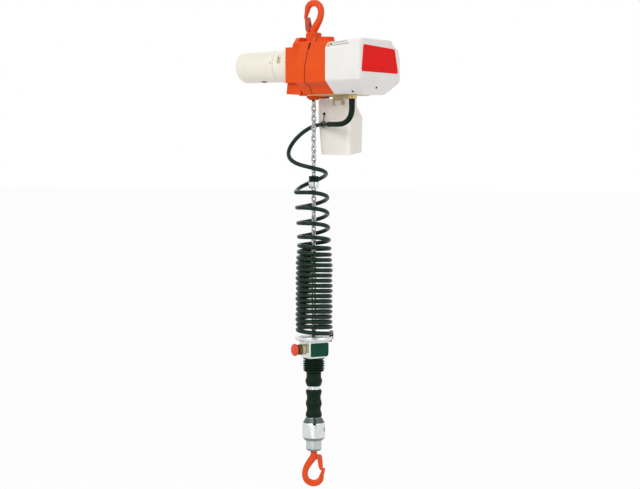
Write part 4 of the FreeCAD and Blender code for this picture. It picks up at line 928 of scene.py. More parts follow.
def curl_points(sizes):
    """Return the curl's control points.

    The angle grows evenly from the left side. The height runs on cubic pieces through the heights at the left
    and right sides, first spread out and then one tight pitch a turn, and each of the first turns leans by a
    sine. The radius and middle drift a little.
    """
    tight = range(1, TIGHT_TURNS + 1)
    lefts = LEFT_TURNS + [LEFT_TURNS[-1] - TIGHT_PITCH * k for k in tight]
    rights = RIGHT_TURNS + [RIGHT_TURNS[-1] - TIGHT_PITCH * k for k in tight[:-1]] + [CURL_END]
    heights = np.stack([lefts, rights], -1).ravel()
    knots = np.arange(len(heights)) * 0.5
    turns = np.arange(0, knots[-1] + 0.001, 1 / POINTS_A_TURN)
    z = smooth_between(knots, heights, turns)
    lift = np.interp(turns, [0, 0.25, 1.25, 3.25, 4.25, 5], [0.002, 0.006, 0.0065, 0.0045, 0.001, 0])
    z = z + lift * np.sin(2 * math.pi * turns)
    radius = np.interp(turns, [0, 1, 3, 5, 7, 21], [0.0405, 0.0362, 0.0355, 0.0372, 0.0395, 0.0398])
    radius = radius * sizes.coil_radius / CURL_RADIUS / math.cos(math.pi / POINTS_A_TURN)
    drift = np.interp(turns, [0, 1, 2, 4, 21], [-0.0072, -0.0040, -0.0015, 0.0012, 0.0004])
    wobble = 0.0006 * np.sin(2 * math.pi * turns / 3.7) * (turns > 6)
    angle = LEFT_ANGLE + 2 * math.pi * turns
    middle = (drift + wobble)[:, None] * RIGHTWARD[:2]
    across = middle + radius[:, None] * np.stack([np.cos(angle), np.sin(angle)], -1)
    return np.column_stack([across, z])


def tail_points():
    """Return the cord's last points, which turn down beside the disc into its inlet."""
    side = RIGHTWARD * 0.0425
    back = -TOWARD
    return [side + back * 0.010 + (0, 0, -0.7672), side * 1.01 + back * 0.0145 + (0, 0, -0.7700),
            side * 1.0 + back * 0.0165 + (0, 0, -0.7760), side * 0.99 + back * 0.017 + (0, 0, -0.7850)]


def spline_line(name, points, resolution):
    """Return a smooth curve of order 3 led by its control points, as the points of a bare curve's mesh."""
    data = bpy.data.curves.new(name, "CURVE")
    data.dimensions = "3D"
    data.resolution_u = resolution
    spline = data.splines.new("NURBS")
    spline.points.add(len(points) - 1)
    spline.points.foreach_set("co", np.column_stack([points, np.ones(len(points))]).ravel())
    spline.order_u = 3
    spline.use_endpoint_u = True
    holder = bpy.data.objects.new(name, data)
    bpy.context.scene.collection.objects.link(holder)
    bpy.context.view_layer.update()
    mesh = bpy.data.meshes.new_from_object(holder)
    line = np.zeros(len(mesh.vertices) * 3)
    mesh.vertices.foreach_get("co", line)
    bpy.data.objects.remove(holder)
    bpy.data.meshes.remove(mesh)
    bpy.data.curves.remove(data)
    return line.reshape(-1, 3)


def sleeve_shape(line):
    """Return the outer sleeve on the cord's first stretch: a tube that tapers and ends in a small rim."""
    steps = np.linalg.norm(np.diff(line, axis=0), axis=1)
    along = np.concatenate([[0], np.cumsum(steps)])
    end = SLEEVE_LONG
    at = np.concatenate([np.linspace(0, end, 60), [end + 0.0006, end + 0.0012]])
    path = np.stack([np.interp(at, along, line[:, k]) for k in range(3)], -1)
    radius = np.interp(at, [0, 0.02, 0.06, end - 0.006, end - 0.004, end, end + 0.0012],
                       [0.0073, 0.0069, 0.0064, 0.0060, 0.0065, 0.0064, 0.0054])
    return pipe(path, radius, 20)


def make_cord(sizes):
    """The cord is one tube from the gland to the disc."""
    points = np.concatenate([LEAD, curl_points(sizes)[1:], tail_points()])
    line = spline_line("cord_line", points, 4)
    radius = sizes.cord_diameter / 2
    cord = piece("control_cord", pipe(line, radius, 14), look("cord"), None, sharp=80)
    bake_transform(cord)
    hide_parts("cord_lead", "cord_coil")
    sleeve = piece("cord_strain_relief", sleeve_shape(line), look("rubber"), "hoist",
                   ["cord_sleeve"], sharp=50)


# Pieces carried over from the frame


def dress(material, *nodes):
    """Give frame nodes that keep their shape a finish."""
    for node in nodes:
        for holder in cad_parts[node].material_slots:
            holder.link = "OBJECT"
            holder.material = material


def make_inside():
    """Finishes for the pieces inside, and for pins, nuts and bolts."""
    dress(look("latch"), "top_latch_pin", "bottom_latch_pin")
    dress(look("steel"), "top_hook_nut", "yoke_pins", "case_bolts", "bearings", "cover_screws",
          "container_pin", "motor_shaft", "intermediate_shaft", "intermediate_gear", "load_wheel",
          "load_gear", "chain_anchor", "chain_anchor_pin", "thrust_bearing", "bottom_hook_nut")
    dress(look("iron"), "motor_stator", "motor_armature", "transformer")
    dress(look("copper"), "commutator")
    dress(look("board"), "controller_board")
    dress(look("dark"), "motor_fan")
    dress(look("tan"), "brush_holders")
    dress(look("aluminium"), "inner_tube")


# Casing


CASE_TOP = -0.075
SPLIT_X = 0.030
SHOULDER_HALF = 0.050
SHOULDER_LOW = -0.0865
CHEEK_INSET = 0.00185
CHEEK_HALF = 0.00195
CHEEK_RISE = 0.0106


def narrower_shoulder(points):
    """Return the left half's points with its shoulder drawn in: sides to 0.8 of their width, foot inwards."""
    x, y, z = points.T.copy()
    shoulder = np.abs(np.abs(y) - SHOULDER_HALF) < 0.0004
    shoulder &= (z > SHOULDER_LOW) & (z < CASE_TOP + 0.0004) & (x < 0.0035)
    y = np.where(shoulder, 0.8 * y, y)
    foot = shoulder & (x < -0.035)
    return np.stack([np.where(foot, -0.0345, x), y, z], -1)


def shorter_crown(points):
    """Return the right half's points with the crown's right end narrower, and just past the yoke's pin."""
    x, y, z = points.T.copy()
    crown_end = (x > 0.060) & (z > CASE_TOP - 0.0003) & (np.abs(y) < 0.045)
    return np.stack([np.where(crown_end, 0.0525, x), np.where(crown_end, 0.35 * y, y), z], -1)


def narrower_yoke(points):
    """Return the yoke's points with its two sides drawn in to a share of their way from the hook's shank."""
    x, y, z = points.T.copy()
    inner, share = 0.0095, 0.314
    drawn = np.sign(x) * (inner + share * (np.abs(x) - inner))
    return np.stack([np.where(np.abs(x) > inner, drawn, x), y, z], -1)


def split_outline(outset):
    """Return the outline that the two casing halves share, in y and z, moved outwards by an amount."""
    half = [(0.024, CASE_TOP + 0.014), (0.029, CASE_TOP + 0.011), (0.0384, CASE_TOP), (0.056, CASE_TOP),
            (0.068, CASE_TOP - 0.025), (0.080, CASE_TOP - 0.062), (0.080, -0.171), (0.060, -0.180),
            (0.048, CASE_FOOT)]
    outline = np.array(half + [(-y, z) for y, z in reversed(half)])
    return drawn_in(softened(outline, 0.0008, 3), -outset)


def crown_cheeks():
    """Return the crown's two cheeks, one at each side of the yoke."""
    low, high = corners_of("hook_yoke")
    cheeks = []
    for x in (low[0] + CHEEK_INSET, high[0] - CHEEK_INSET):
        cheeks.append(brick((x - CHEEK_HALF, low[1] + 0.0001, low[2] + 0.0001),
                            (x + CHEEK_HALF, high[1] - 0.0001, low[2] + CHEEK_RISE), 0.0008, 0.0006))
    return together(cheeks)


def make_casing(sizes):
    """The casing's two cast halves with the gasket between them, dark pieces of painted shade in two lug
    slots, the yoke and cheeks.
    """
    paint, edge = look("casing"), sizes.casing_edge
    casting("gear_casing_left", "gear_case_left", paint, "hoist", edge, narrower_shoulder)
    casting("gear_casing_right", "gear_case_right", paint, "hoist", edge, shorter_crown)
    casting("suspension_yoke", "hook_yoke", paint, "hoist", edge, narrower_yoke)
    piece("crown_cheeks", crown_cheeks(), paint, "hoist", sharp=40)
    outer, inner = split_outline(0.00035), split_outline(-0.003)
    loops = []
    for outline, side in ((outer, -1), (outer, 1), (inner, 1), (inner, -1)):
        loops.append(np.column_stack([np.full(len(outline), SPLIT_X + side * 0.0008), outline]))
    piece("casing_gasket", skin(loops, closed=True), look("seam"), "hoist", sharp=20)
    # Dark pieces where the seam's top has two lug slots: painted shade.
    slot = np.array([(0.0580, CASE_TOP - 0.0030), (0.0648, CASE_TOP - 0.0172),
                     (0.0632, CASE_TOP - 0.0180), (0.0564, CASE_TOP - 0.0038)])
    slots = [slab(slot * (side, 1), SPLIT_X - 0.0022, SPLIT_X + 0.0028, "x") for side in (-1, 1)]
    piece("casing_lug_slots", together(slots), look("seam"), "hoist", sharp=20)


# Motor housing


def motor_cover_shape():
    """Return the motor's cup, turned about its axis: a wall with a slight draft and a large rounded rim."""
    joint, left = MOTOR_HIGH[0] - 0.0002, MOTOR_LOW[0]
    edge, wall, draft = 0.015, 0.0025, 0.0008
    bend = np.linspace(math.pi / 2, 0, 16)
    outside = [(MOTOR_R - 0.0012, joint), (MOTOR_R - 0.0004, joint - 0.0003), (MOTOR_R, joint - 0.0012),
               (MOTOR_R, joint - 0.006), (MOTOR_R - 0.0002, joint - 0.03)]
    outside += [(MOTOR_R - draft + edge * (math.sin(a) - 1), left + edge * (1 - math.cos(a))) for a in bend]
    outside += [(0.012, left + 0.0001), (0.0003, left)]
    inside = [(0.0003, left + wall), (MOTOR_R - edge, left + wall), (MOTOR_R - 0.0052, left + 0.007),
              (MOTOR_R - wall - draft, left + edge), (MOTOR_R - wall, joint)]
    return lathe(inside + outside, (0, 0, MOTOR_Z), "x", 128)


def on_motor(shape, x, degrees):
    """Return a shape that stands on the Z axis, turned about the motor's axis and moved along it."""
    return shifted(rolled(shape, degrees, "x"), (x, 0, MOTOR_Z))


def drain_shape():
    """Return the oval grommet in the motor's drain: a turned ring and its core, twice as long as wide."""
    ring = lathe([(0.0033, -0.003), (0.0033, 0.0002), (0.0041, 0.0004), (0.0046, 0.0001), (0.0046, -0.003)],
                 segments=32, closed=True)
    core = lathe([(0.0003, 0.0), (0.0036, 0.0), (0.0036, -0.003), (0.0003, -0.003)], segments=32, closed=True)
    points, quads, triangles = together([ring, core])
    return shifted((points * (2.0, 1, 1), quads, triangles), (0, 0, MOTOR_R - 0.0003))


def make_motor():
    """The motor's cup and end frame, with two cover screws and the drain in the cup, and the seal between."""
    joint = MOTOR_HIGH[0]
    piece("motor_cup", motor_cover_shape(), look("cream"), "hoist", ["motor_cover"], sharp=30)
    casting("motor_flange", "motor_end_frame", look("cream"), "hoist", 0.0009)
    head = lathe([(0.0003, 0.0009), (0.0016, 0.0008), (0.0022, 0.0003), (0.0022, -0.002)], segments=20)
    cross = brick((-0.0013, -0.0003, 0.0008), (0.0013, 0.0003, 0.0011), 0.0001, 0.00005)
    screw = shifted(together([head, cross]), (0, 0, MOTOR_R - 0.0002))
    for name, degrees in (("motor_screw_front", 83), ("motor_screw_back", -97)):
        piece(name, on_motor(screw, joint - 0.0065, degrees), look("steel"), "hoist")
    piece("drain_grommet", on_motor(drain_shape(), joint - 0.046, 164), look("dark"), "hoist")
    seal = [(MOTOR_R + out, joint + along) for out, along in
            ((-0.004, -0.0008), (0.0001, -0.0008), (0.0001, 0.0008), (-0.004, 0.0008))]
    piece("motor_seal", lathe(seal, (0, 0, MOTOR_Z), "x", 96, closed=True), look("iron"), "hoist",
          sharp=20)


# Controller


COVER_NEAR_HALF = 0.0818
COVER_NEAR_TOP = -0.0790
COVER_FALL = 0.0025
COVER_WAIST = -0.168
COVER_LOW_HALF = 0.043
COVER_END_SLOPE = 0.017
COVER_WALL = 0.003
CHAMFER = np.array([0.013, 0.014])
SLOPE_SCREW_FRONT = (0.147, -0.0515, -0.1946)
SLOPE_SCREW_END = (0.1815, -0.004, -0.185)


def cover_spread(x):
    """Return half the cover's width and its top level at x: straight tapers from the casing to its end."""
    share = (x - COVER_LOW[0]) / (COVER_HIGH[0] - COVER_LOW[0])
    half = COVER_NEAR_HALF + (COVER_HIGH[1] - COVER_NEAR_HALF) * share
    top = COVER_NEAR_TOP + (COVER_HIGH[2] - COVER_FALL - COVER_NEAR_TOP) * share
    return half, top


def cover_section(x, wall):
    """Return the cover's outline in y and z at x: chamfered in front, stepped at the back, drawn in below."""
    half, top = cover_spread(x)
    half, top = half - wall, top - wall
    rise = np.clip((x - COVER_HIGH[0] + COVER_END_SLOPE + wall) / COVER_END_SLOPE, 0, 0.9)
    low = COVER_LOW[2] + wall + (COVER_WAIST - COVER_LOW[2] - wall) * rise
    low_half = COVER_LOW_HALF - wall + (half - COVER_LOW_HALF + wall) * rise
    wide, high = CHAMFER
    corners = [(-half, top - high), (-half + wide, top), (half - 0.038, top), (half - 0.030, top - 0.012),
               (half - 0.010, top - 0.019), (half, top - 0.042), (half, COVER_WAIST), (low_half, low),
               (-low_half, low), (-half, COVER_WAIST)]
    return softened(corners, 0.0035, 5)


def cover_shell(edge):
    """Return the moulded cover: outlines carried along x to a rounded far end, and back along its inside."""
    joint, end = COVER_LOW[0], COVER_HIGH[0]
    middle = np.array([0, (COVER_NEAR_TOP + COVER_WAIST) / 2])
    bend = np.linspace(0, math.pi / 2, 5)
    straight = np.concatenate([np.linspace(joint, end - COVER_END_SLOPE - 0.001, 7),
                               np.linspace(end - COVER_END_SLOPE, end - edge, 5)[:-1]])
    loops = [(x, cover_section(x, 0)) for x in straight]
    for a in bend:
        x = end - edge + edge * math.sin(a)
        loops.append((x, middle + (cover_section(x, 0) - middle) * (1 - 15 * edge * (1 - math.cos(a)))))
    last = loops[-1][1]
    loops += [(end, middle + (last - middle) * share) for share in (0.6, 0.003)]
    inside = cover_section(end - COVER_WALL, COVER_WALL)
    loops += [(end - COVER_WALL, middle + (inside - middle) * share) for share in (0.003, 0.6, 1)]
    loops += [(x, cover_section(x, COVER_WALL)) for x in straight[::-1]]
    return skin([np.column_stack([np.full(len(outline), x), outline]) for x, outline in loops], closed=True)


def on_chamfer(x0, x1, low, high, rise, edge=0.0006):
    """Return a raised field on the cover's front chamfer, from x0 to x1, and low to high along its slope."""
    slope = CHAMFER / np.linalg.norm(CHAMFER)
    out = np.array([-slope[1], slope[0]])
    field = softened([(low, -0.002), (high, -0.002), (high, rise), (low, rise)], edge, 4)
    outline = field[:, :1] * slope + field[:, 1:] * out
    rings = []
    for x in np.linspace(x0, x1, 12):
        half, top = cover_spread(x)
        rings.append(np.column_stack([np.full(len(field), x), outline + (-half, top - CHAMFER[1])]))
    return skin(rings)


def make_controller(sizes):
    """The moulded cover with its cable channels, clip and screws, and the bare end plate."""
    piece("controller_housing", cover_shell(3 * sizes.cover_edge), look("white"), "hoist",
          ["controller_cover"], sharp=24)
    joint = COVER_LOW[0]
    # The channels' grey stands for the shade along their edges: painted shade.
    ribs = together([on_chamfer(joint + 0.018, joint + 0.068, 0.0035, 0.0060, 0.0012),
                     on_chamfer(joint + 0.018, joint + 0.058, 0.0125, 0.0150, 0.0012)])
    piece("cover_ribs", ribs, look("channel"), "hoist", sharp=50)
    piece("cover_clip", on_chamfer(joint + 0.003, joint + 0.013, 0.002, 0.0165, 0.0006), look("tan"), "hoist",
          sharp=50)
    # The screws here are dark: their heads carry painted shade of their recesses.
    piece("cover_clip_screw", on_chamfer(joint + 0.0135, joint + 0.0165, 0.0065, 0.0115, 0.0012, 0.0014),
          look("dark"), "hoist", sharp=50)
    head = lathe([(0.0003, 0.0012), (0.0016, 0.0010), (0.0028, 0.0004), (0.0030, -0.002)], segments=24)
    slope = math.degrees(math.atan2(COVER_HIGH[1] - COVER_LOW_HALF, COVER_WAIST - COVER_LOW[2]))
    front = shifted(rolled(head, 202 - slope, "x"), SLOPE_SCREW_FRONT)
    piece("slope_screw_front", front, look("dark"), "hoist")
    end = shifted(rolled(head, 118, "y"), SLOPE_SCREW_END)
    piece("slope_screw_end", end, look("dark"), "hoist")
    casting("bare_end_plate", "end_plate", look("plate"), "hoist", 0.0003)


# Below the casing

BAG_FOOT = -0.335
LIP_END = 0.012


def fuller_foot(points):
    """Return the container's points with its foot spread out again, and its back right corner raised."""
    x, y, z = points.T.copy()
    foot = z < BAG_FOOT
    right = (x - x[foot].min()) / np.ptp(x[foot])
    back = (y - y[foot].min()) / np.ptp(y[foot])
    moved = np.stack([x - 0.003 + 0.009 * right, y - 0.002 + 0.007 * back,
                      z + 0.0025 * (1 - right) + 0.009 * back], -1)
    return np.where(foot[:, None], moved, points)


def foot_lip():
    """Return the casing's thin lip over the bottom plate's front and left edges."""
    low, high = corners_of("bottom_plate")
    corner = low - (0.0003, 0.0003, 0.0001)
    top = high[2] - 0.0001
    return together([brick(corner, (LIP_END, low[1], top), 0.0001, 0.0001),
                     brick(corner + (0, 0.0001, 0), (low[0], high[1], top), 0.0001, 0.0001)])


def make_underside():
    """Bottom plate and the casing's lip, chain guide, container and hanger, cord gland, tie and stopper."""
    casting("gasket_plate", "bottom_plate", look("zinc"), "hoist", 0.0004)
    casting("chain_outlet", "chain_guide", look("casing"), "hoist", 0.0006)
    casting("chain_bag", "chain_container", look("milk"), "hoist", 0.0016, fuller_foot)
    casting("bag_hanger", "container_hanger", look("tan"), "hoist", 0.0008)
    casting("cord_gland_nut", "cord_gland", look("zinc"), "hoist", 0.0008)
    piece("casing_foot_lip", foot_lip(), look("casing"), "hoist", sharp=50)
    casting("cord_holder", "cord_tie", look("rubber"), "hoist", 0.0)
    make_stopper()


def make_stopper():
    """Rubber cushion with two grooves, and the stopper clamped on the chain with its split line."""
    low, high = corners_of("chain_cushion")
    radius, hole = high[0], 0.0072
    rise = high[2] - low[2]
    groove = 0.0011
    outer = [(radius, 0), (radius, 0.22), (radius - groove, 0.26), (radius - groove, 0.32), (radius, 0.36),
             (radius, 0.56), (radius - groove, 0.60), (radius - groove, 0.66), (radius, 0.70), (radius, 0.9),
             (radius - 0.001, 0.98), (radius - 0.002, 1)]
    profile = [(hole, low[2])] + [(r, low[2] + rise * share) for r, share in outer] + [(hole, high[2])]
    piece("rubber_cushion", lathe(profile, closed=True), look("rubber"), "load",
          ["chain_cushion"], sharp=30)
    low, high = corners_of("chain_stopper")
    radius = high[0]
    profile = [(hole, low[2]), (radius - 0.0012, low[2]), (radius - 0.0003, low[2] + 0.0004),
               (radius, low[2] + 0.0013), (radius, high[2] - 0.0008), (radius - 0.0004, high[2] - 0.0002),
               (radius - 0.001, high[2]), (hole, high[2])]
    piece("stopper_clamp", lathe(profile, closed=True), look("aluminium"), "load",
          ["chain_stopper"], sharp=30)
    slit = brick((-0.0004, -radius - 0.0001, low[2] + 0.0004), (0.0004, -radius + 0.003, high[2] - 0.0004),
                 0.0001, 0.0001)
    piece("stopper_slit", rolled(slit, 44), look("dark"), "load")


# Control unit

UNIT_TURN = -24.8
CASE_HALF = 0.0275
PANEL_SLOPE = 3 / 14
BUTTON_Z = -0.807


def panel_shape():
    """Return the panel: a flat part and, below the case's bend, a skirt sheared along the case's slope."""
    inner, outer, half = 0.0272, 0.0289, 0.0245
    bend = corners_of("panel_plate")[0][2]
    flat = rectangle((-half, bend), (half, bend + 0.0228), (0.0002, 0.0002, 0.003, 0.003))
    skirt = rectangle((0.001 - half, bend - 0.0100), (half, bend), (0.003, 0.005, 0.0002, 0.0002))
    skirt = slab(skirt, inner, outer, "x")
    skirt[0][:, 0] += (skirt[0][:, 2] - bend) * PANEL_SLOPE
    return together([slab(flat, inner, outer, "x"), skirt])


def on_unit(profile, start, segments, closed=False):
    """Return a profile of radius and way out, turned about the button's axis and set on the case's side."""
    turned = lathe([(r, -start - out) for r, out in profile], (0, 0, BUTTON_Z), "y", segments, closed)
    return rolled(turned, UNIT_TURN)


def make_unit():
    """Disc with the cord's inlet, case with its panel, and the stop button with its collar and ring."""
    top, radius = corners_of("control_disc")[1][2], 0.045
    rim = [(0.012, top - 0.006), (radius - 0.008, top - 0.006), (radius - 0.0052, top - 0.0098),
           (radius - 0.0038, top - 0.0104), (radius - 0.0012, top - 0.0094), (radius - 0.0003, top - 0.0082),
           (radius, top - 0.0062), (radius, top - 0.0018), (radius - 0.0004, top - 0.0008),
           (radius - 0.0012, top - 0.0002), (radius - 0.003, top), (0.012, top)]
    inlet_turn, inlet_out = math.radians(56), 0.041
    inlet = lathe([(0.0058, top - 0.0149), (0.006, top - 0.0145), (0.006, top - 0.0012),
                   (0.0054, top - 0.0012)],
                  (inlet_out * math.cos(inlet_turn), inlet_out * math.sin(inlet_turn), 0), segments=32)
    piece("coil_disc", lathe(rim, segments=128, closed=True), look("aluminium"), "load",
          ["control_disc"], sharp=30)
    piece("cord_inlet", inlet, look("dark"), "load")
    casting("control_housing", "control_case", look("aluminium"), "load", 0.0009)
    piece("control_panel", rolled(panel_shape(), UNIT_TURN), look("panel"), "load",
          ["panel_plate"], sharp=30)
    # The collar's olive is painted shade on a yellowish collar.
    casting("stop_collar", "estop_collar", look("collar"), "load", 0.0008)
    ring = [(0.0122, 0.0006), (0.0129, 0.0008), (0.0129, 0.0082), (0.0122, 0.0084)]
    piece("stop_collar_ring", on_unit(ring, CASE_HALF, 48, True), look("tan"), "load",
          sharp=30)
    button = [(0.0003, -0.022), (0.005, -0.022), (0.005, -0.0002), (0.0118, -0.0002), (0.0136, 0.0006),
              (0.0147, 0.0021), (0.015, 0.004), (0.0145, 0.0056), (0.0132, 0.0069), (0.0108, 0.0080),
              (0.0076, 0.0087), (0.004, 0.009), (0.0003, 0.0091)]
    piece("mushroom_button", on_unit(button, CASE_HALF + 0.0215, 64), look("button"), "stop_button",
          ["estop_button"], sharp=50)


# Grips

# Each fin's place below the bellows' top and its tip's radius
FINS = ((0.0090, 0.0262), (0.0146, 0.0262), (0.0202, 0.0262), (0.0257, 0.0258), (0.0310, 0.0250))
FIN_HALF = 0.0021


def bellows_shape(low, high):
    """Return the bellows: a neck whose radius rises to each fin's tip by the power 0.8 of a clipped ramp."""
    hole, long = 0.016, high - low
    body = [(0.0254, 0), (0.0256, 0.0008), (0.0256, 0.0030), (0.0222, 0.0038), (0.0216, 0.006),
            (0.0214, 0.030), (0.0204, 0.0335), (0.0186, 0.0360), (0.0182, long)]
    radii, places = zip(*body)
    down = np.linspace(0, long, 190)
    radius = np.interp(down, places, radii)
    for place, tip in FINS:
        fin = np.clip(1.7 - 1.7 * np.abs(down - place) / FIN_HALF, 0, 1) ** 0.8
        radius = np.maximum(radius, radius + (tip - radius) * fin)
    return lathe([(hole, high)] + list(zip(radius, high - down)) + [(hole, low)], segments=72, closed=True)


def grip_shape(shape, top, hole):
    """Return a turned grip round a bore: its radius runs on cubic pieces through places below its top."""
    places, radii = zip(*shape)
    down = np.linspace(0, places[-1], 90)
    radius = smooth_between(places, radii, down)
    profile = [(hole, top)] + list(zip(radius, top - down)) + [(hole, top - places[-1])]
    return lathe(profile, segments=72, closed=True)


def make_grips():
    """Bellows, the finger sleeve and the lower grip, all turned shapes."""
    low, high = corners_of("bellows")
    bellows = piece("ribbed_bellows", bellows_shape(low[2], high[2]), look("rubber"), None,
                    sharp=40)
    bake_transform(bellows)
    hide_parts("bellows")

    low, high = corners_of("finger_sleeve")
    shape = [(0, 0.0166), (0.001, 0.0174), (0.007, 0.0176), (0.0125, 0.0182), (0.0185, 0.0203),
             (0.0225, 0.0202), (0.028, 0.0183), (0.0315, 0.0170), (high[2] - low[2], 0.0162)]
    piece("finger_grip", grip_shape(shape, high[2], 0.0153), look("rubber"), "control_sleeve",
          ["finger_sleeve"], sharp=40)
    low, high = corners_of("lower_grip")
    shape = [(0, 0.0162), (0.0012, 0.0178), (0.0046, 0.0192), (0.008, 0.0190), (0.014, 0.0172),
             (0.019, 0.0166), (0.0245, 0.0172), (0.031, 0.0190), (0.0346, 0.0195), (0.039, 0.0187),
             (0.0445, 0.0170), (0.048, 0.0166), (0.0525, 0.0174), (0.0585, 0.0193), (0.0622, 0.0197),
             (0.0655, 0.0190), (high[2] - low[2], 0.0178)]
    piece("lower_handle", grip_shape(shape, high[2], 0.0151), look("rubber"), "load",
          ["lower_grip"], sharp=40)


# Coupler


def ring_at(level, profile):
    """Return a turned ring from a profile of radius and rise above a level."""
    return lathe([(r, level + rise) for r, rise in profile], closed=True, segments=96)


def make_coupler():
    """The coupler with painted dark reflections on its cone and rims and painted shade in its slots, and the
    barrel that the bottom hook turns in.
    """
    low, high = corners_of("coupler_body")
    top = high[2]
    casting("hook_coupler", "coupler_body", look("aluminium"), "load", 0.0005)
    # A thin dark film over the cone's sides: painted reflection.
    coat = ring_at(top, [(0.0188, -0.0006), (0.01935, -0.0004), (0.0262, -0.0124), (0.0256, -0.0126)])
    piece("coupler_cone_coat", coat, look("cone"), "load", sharp=30)
    # Dark pieces in the cone's slots and the window below: painted shade of their depth.
    outline = [(0.0175, top - 0.0005), (0.0196, top - 0.0005), (0.0280, top - 0.0149),
               (0.0280, top - 0.0161), (0.0235, top - 0.0161)]
    slot = slab(outline, -0.0021, 0.0021, "y")
    window = brick((0.0250, -0.0019, top - 0.0342), (0.0277, 0.0019, top - 0.0224))
    shades = [rolled(slot, degrees) for degrees in (-48, 65, 185)] + [rolled(window, 12)]
    piece("coupler_slot_shades", together(shades), look("dark"), "load", sharp=20)
    casting("hook_barrel", "coupler_barrel", look("barrel"), "load", 0.0008)
    barrel_foot = corners_of("coupler_barrel")[0][2]
    # Thin darker rings on the coupler's and the barrel's lower chamfers: painted reflection.
    rims = [ring_at(low[2], [(0.0275, 0.0072), (0.0278, 0.0070), (0.0218, -0.0001), (0.0215, 0.0002)]),
            ring_at(barrel_foot, [(0.0187, 0.0042), (0.0190, 0.0040), (0.0160, -0.0001), (0.0157, 0.0002)])]
    piece("coupler_rims", together(rims), look("rim"), "load", sharp=30)


# Stage


def make_stage(settings):
    """Camera at the photograph's angle, soft lamps, pale floor and a white room."""
    scene = bpy.context.scene
    scene.view_settings.view_transform = "Standard"
    aim_right, aim_z, frame_width = 0.015, -0.5556, 1.536
    camera = bpy.data.cameras.new("camera")
    camera.sensor_width = 36.0
    camera.lens = 36.0 * settings.distance / frame_width
    eye = Vector(RIGHTWARD * aim_right + TOWARD * settings.distance + (0, 0, settings.eye))
    aim = Vector(RIGHTWARD * aim_right + (0, 0, aim_z))
    viewer = bpy.data.objects.new("camera", camera)
    viewer.location = eye
    viewer.rotation_euler = (aim - eye).to_track_quat("-Z", "Y").to_euler()
    scene.collection.objects.link(viewer)
    scene.camera = viewer
    lamps = [("key_lamp", -1.5, 2.6, 1.3, 1.8, settings.key),
             ("fill_lamp", 2.4, 1.8, 0.2, 1.6, 0.3 * settings.key),
             ("low_lamp", -0.4, 2.2, -1.6, 1.4, 0.18 * settings.key),
             ("back_lamp", -0.6, -2.2, 1.2, 1.6, 0.3 * settings.key)]
    for name, right, toward, up, size, power in lamps:
        lamp = bpy.data.lights.new(name, "AREA")
        lamp.shape = "SQUARE"
        lamp.size = size
        lamp.energy = power
        holder = bpy.data.objects.new(name, lamp)
        holder.location = Vector(RIGHTWARD * right + TOWARD * toward + (0, 0, up))
        target = Vector((0, 0, -0.45))
        holder.rotation_euler = (target - holder.location).to_track_quat("-Z", "Y").to_euler()
        scene.collection.objects.link(holder)
    make_floor()
    make_dark_card()
    make_room(settings)


def seen_directly(nodes, links):
    """Return an output that is 1 for camera, glossy and transmission rays."""
    path = nodes.new("ShaderNodeLightPath")
    first = nodes.new("ShaderNodeMath")
    first.operation = "MAXIMUM"
    both = nodes.new("ShaderNodeMath")
    both.operation = "MAXIMUM"
    links.new(path.outputs["Is Camera Ray"], first.inputs[0])
    links.new(path.outputs["Is Glossy Ray"], first.inputs[1])
    links.new(first.outputs[0], both.inputs[0])
    links.new(path.outputs["Is Transmission Ray"], both.inputs[1])
    return both.outputs[0]


def make_floor():
    """Pale floor that shows white to the camera and keeps the shadow."""
    half, level = 60.0, -1.5
    mesh = bpy.data.meshes.new("floor")
    corners = [(-half, -half, level), (half, -half, level), (half, half, level), (-half, half, level)]
    mesh.from_pydata(corners, [], [(0, 1, 2, 3)])
    floor = bpy.data.objects.new("floor", mesh)
    bpy.context.scene.collection.objects.link(floor)
    material = bpy.data.materials.new("Floor")
    material.use_nodes = True
    nodes, links = material.node_tree.nodes, material.node_tree.links
    shader = nodes["Principled BSDF"]
    shader.inputs["Base Color"].default_value = (0.82, 0.82, 0.82, 1)
    shader.inputs["Roughness"].default_value = 0.9
    glow = nodes.new("ShaderNodeEmission")
    share = nodes.new("ShaderNodeMath")
    share.operation = "MULTIPLY"
    share.inputs[1].default_value = 0.95
    mix = nodes.new("ShaderNodeMixShader")
    links.new(seen_directly(nodes, links), share.inputs[0])
    links.new(share.outputs[0], mix.inputs[0])
    links.new(shader.outputs["BSDF"], mix.inputs[1])
    links.new(glow.outputs["Emission"], mix.inputs[2])
    links.new(mix.outputs["Shader"], nodes["Material Output"].inputs["Surface"])
    mesh.materials.append(material)


def make_dark_card():
    """Dark card behind the camera, which turned metal mirrors as a stripe. The camera never sees it."""
    half, low, high, back = 1.3, -2.6, 1.6, 4.7
    corners = [RIGHTWARD * side * half + TOWARD * back + (0, 0, level)
               for side, level in ((-1, low), (1, low), (1, high), (-1, high))]
    mesh = bpy.data.meshes.new("dark_card")
    mesh.from_pydata([tuple(corner) for corner in corners], [], [(0, 1, 2, 3)])
    card = bpy.data.objects.new("dark_card", mesh)
    bpy.context.scene.collection.objects.link(card)
    material = bpy.data.materials.new("Dark card")
    material.use_nodes = True
    shader = material.node_tree.nodes["Principled BSDF"]
    shader.inputs["Base Color"].default_value = (0.03, 0.045, 0.04, 1)
    shader.inputs["Roughness"].default_value = 0.9
    mesh.materials.append(material)
    card.visible_camera = False


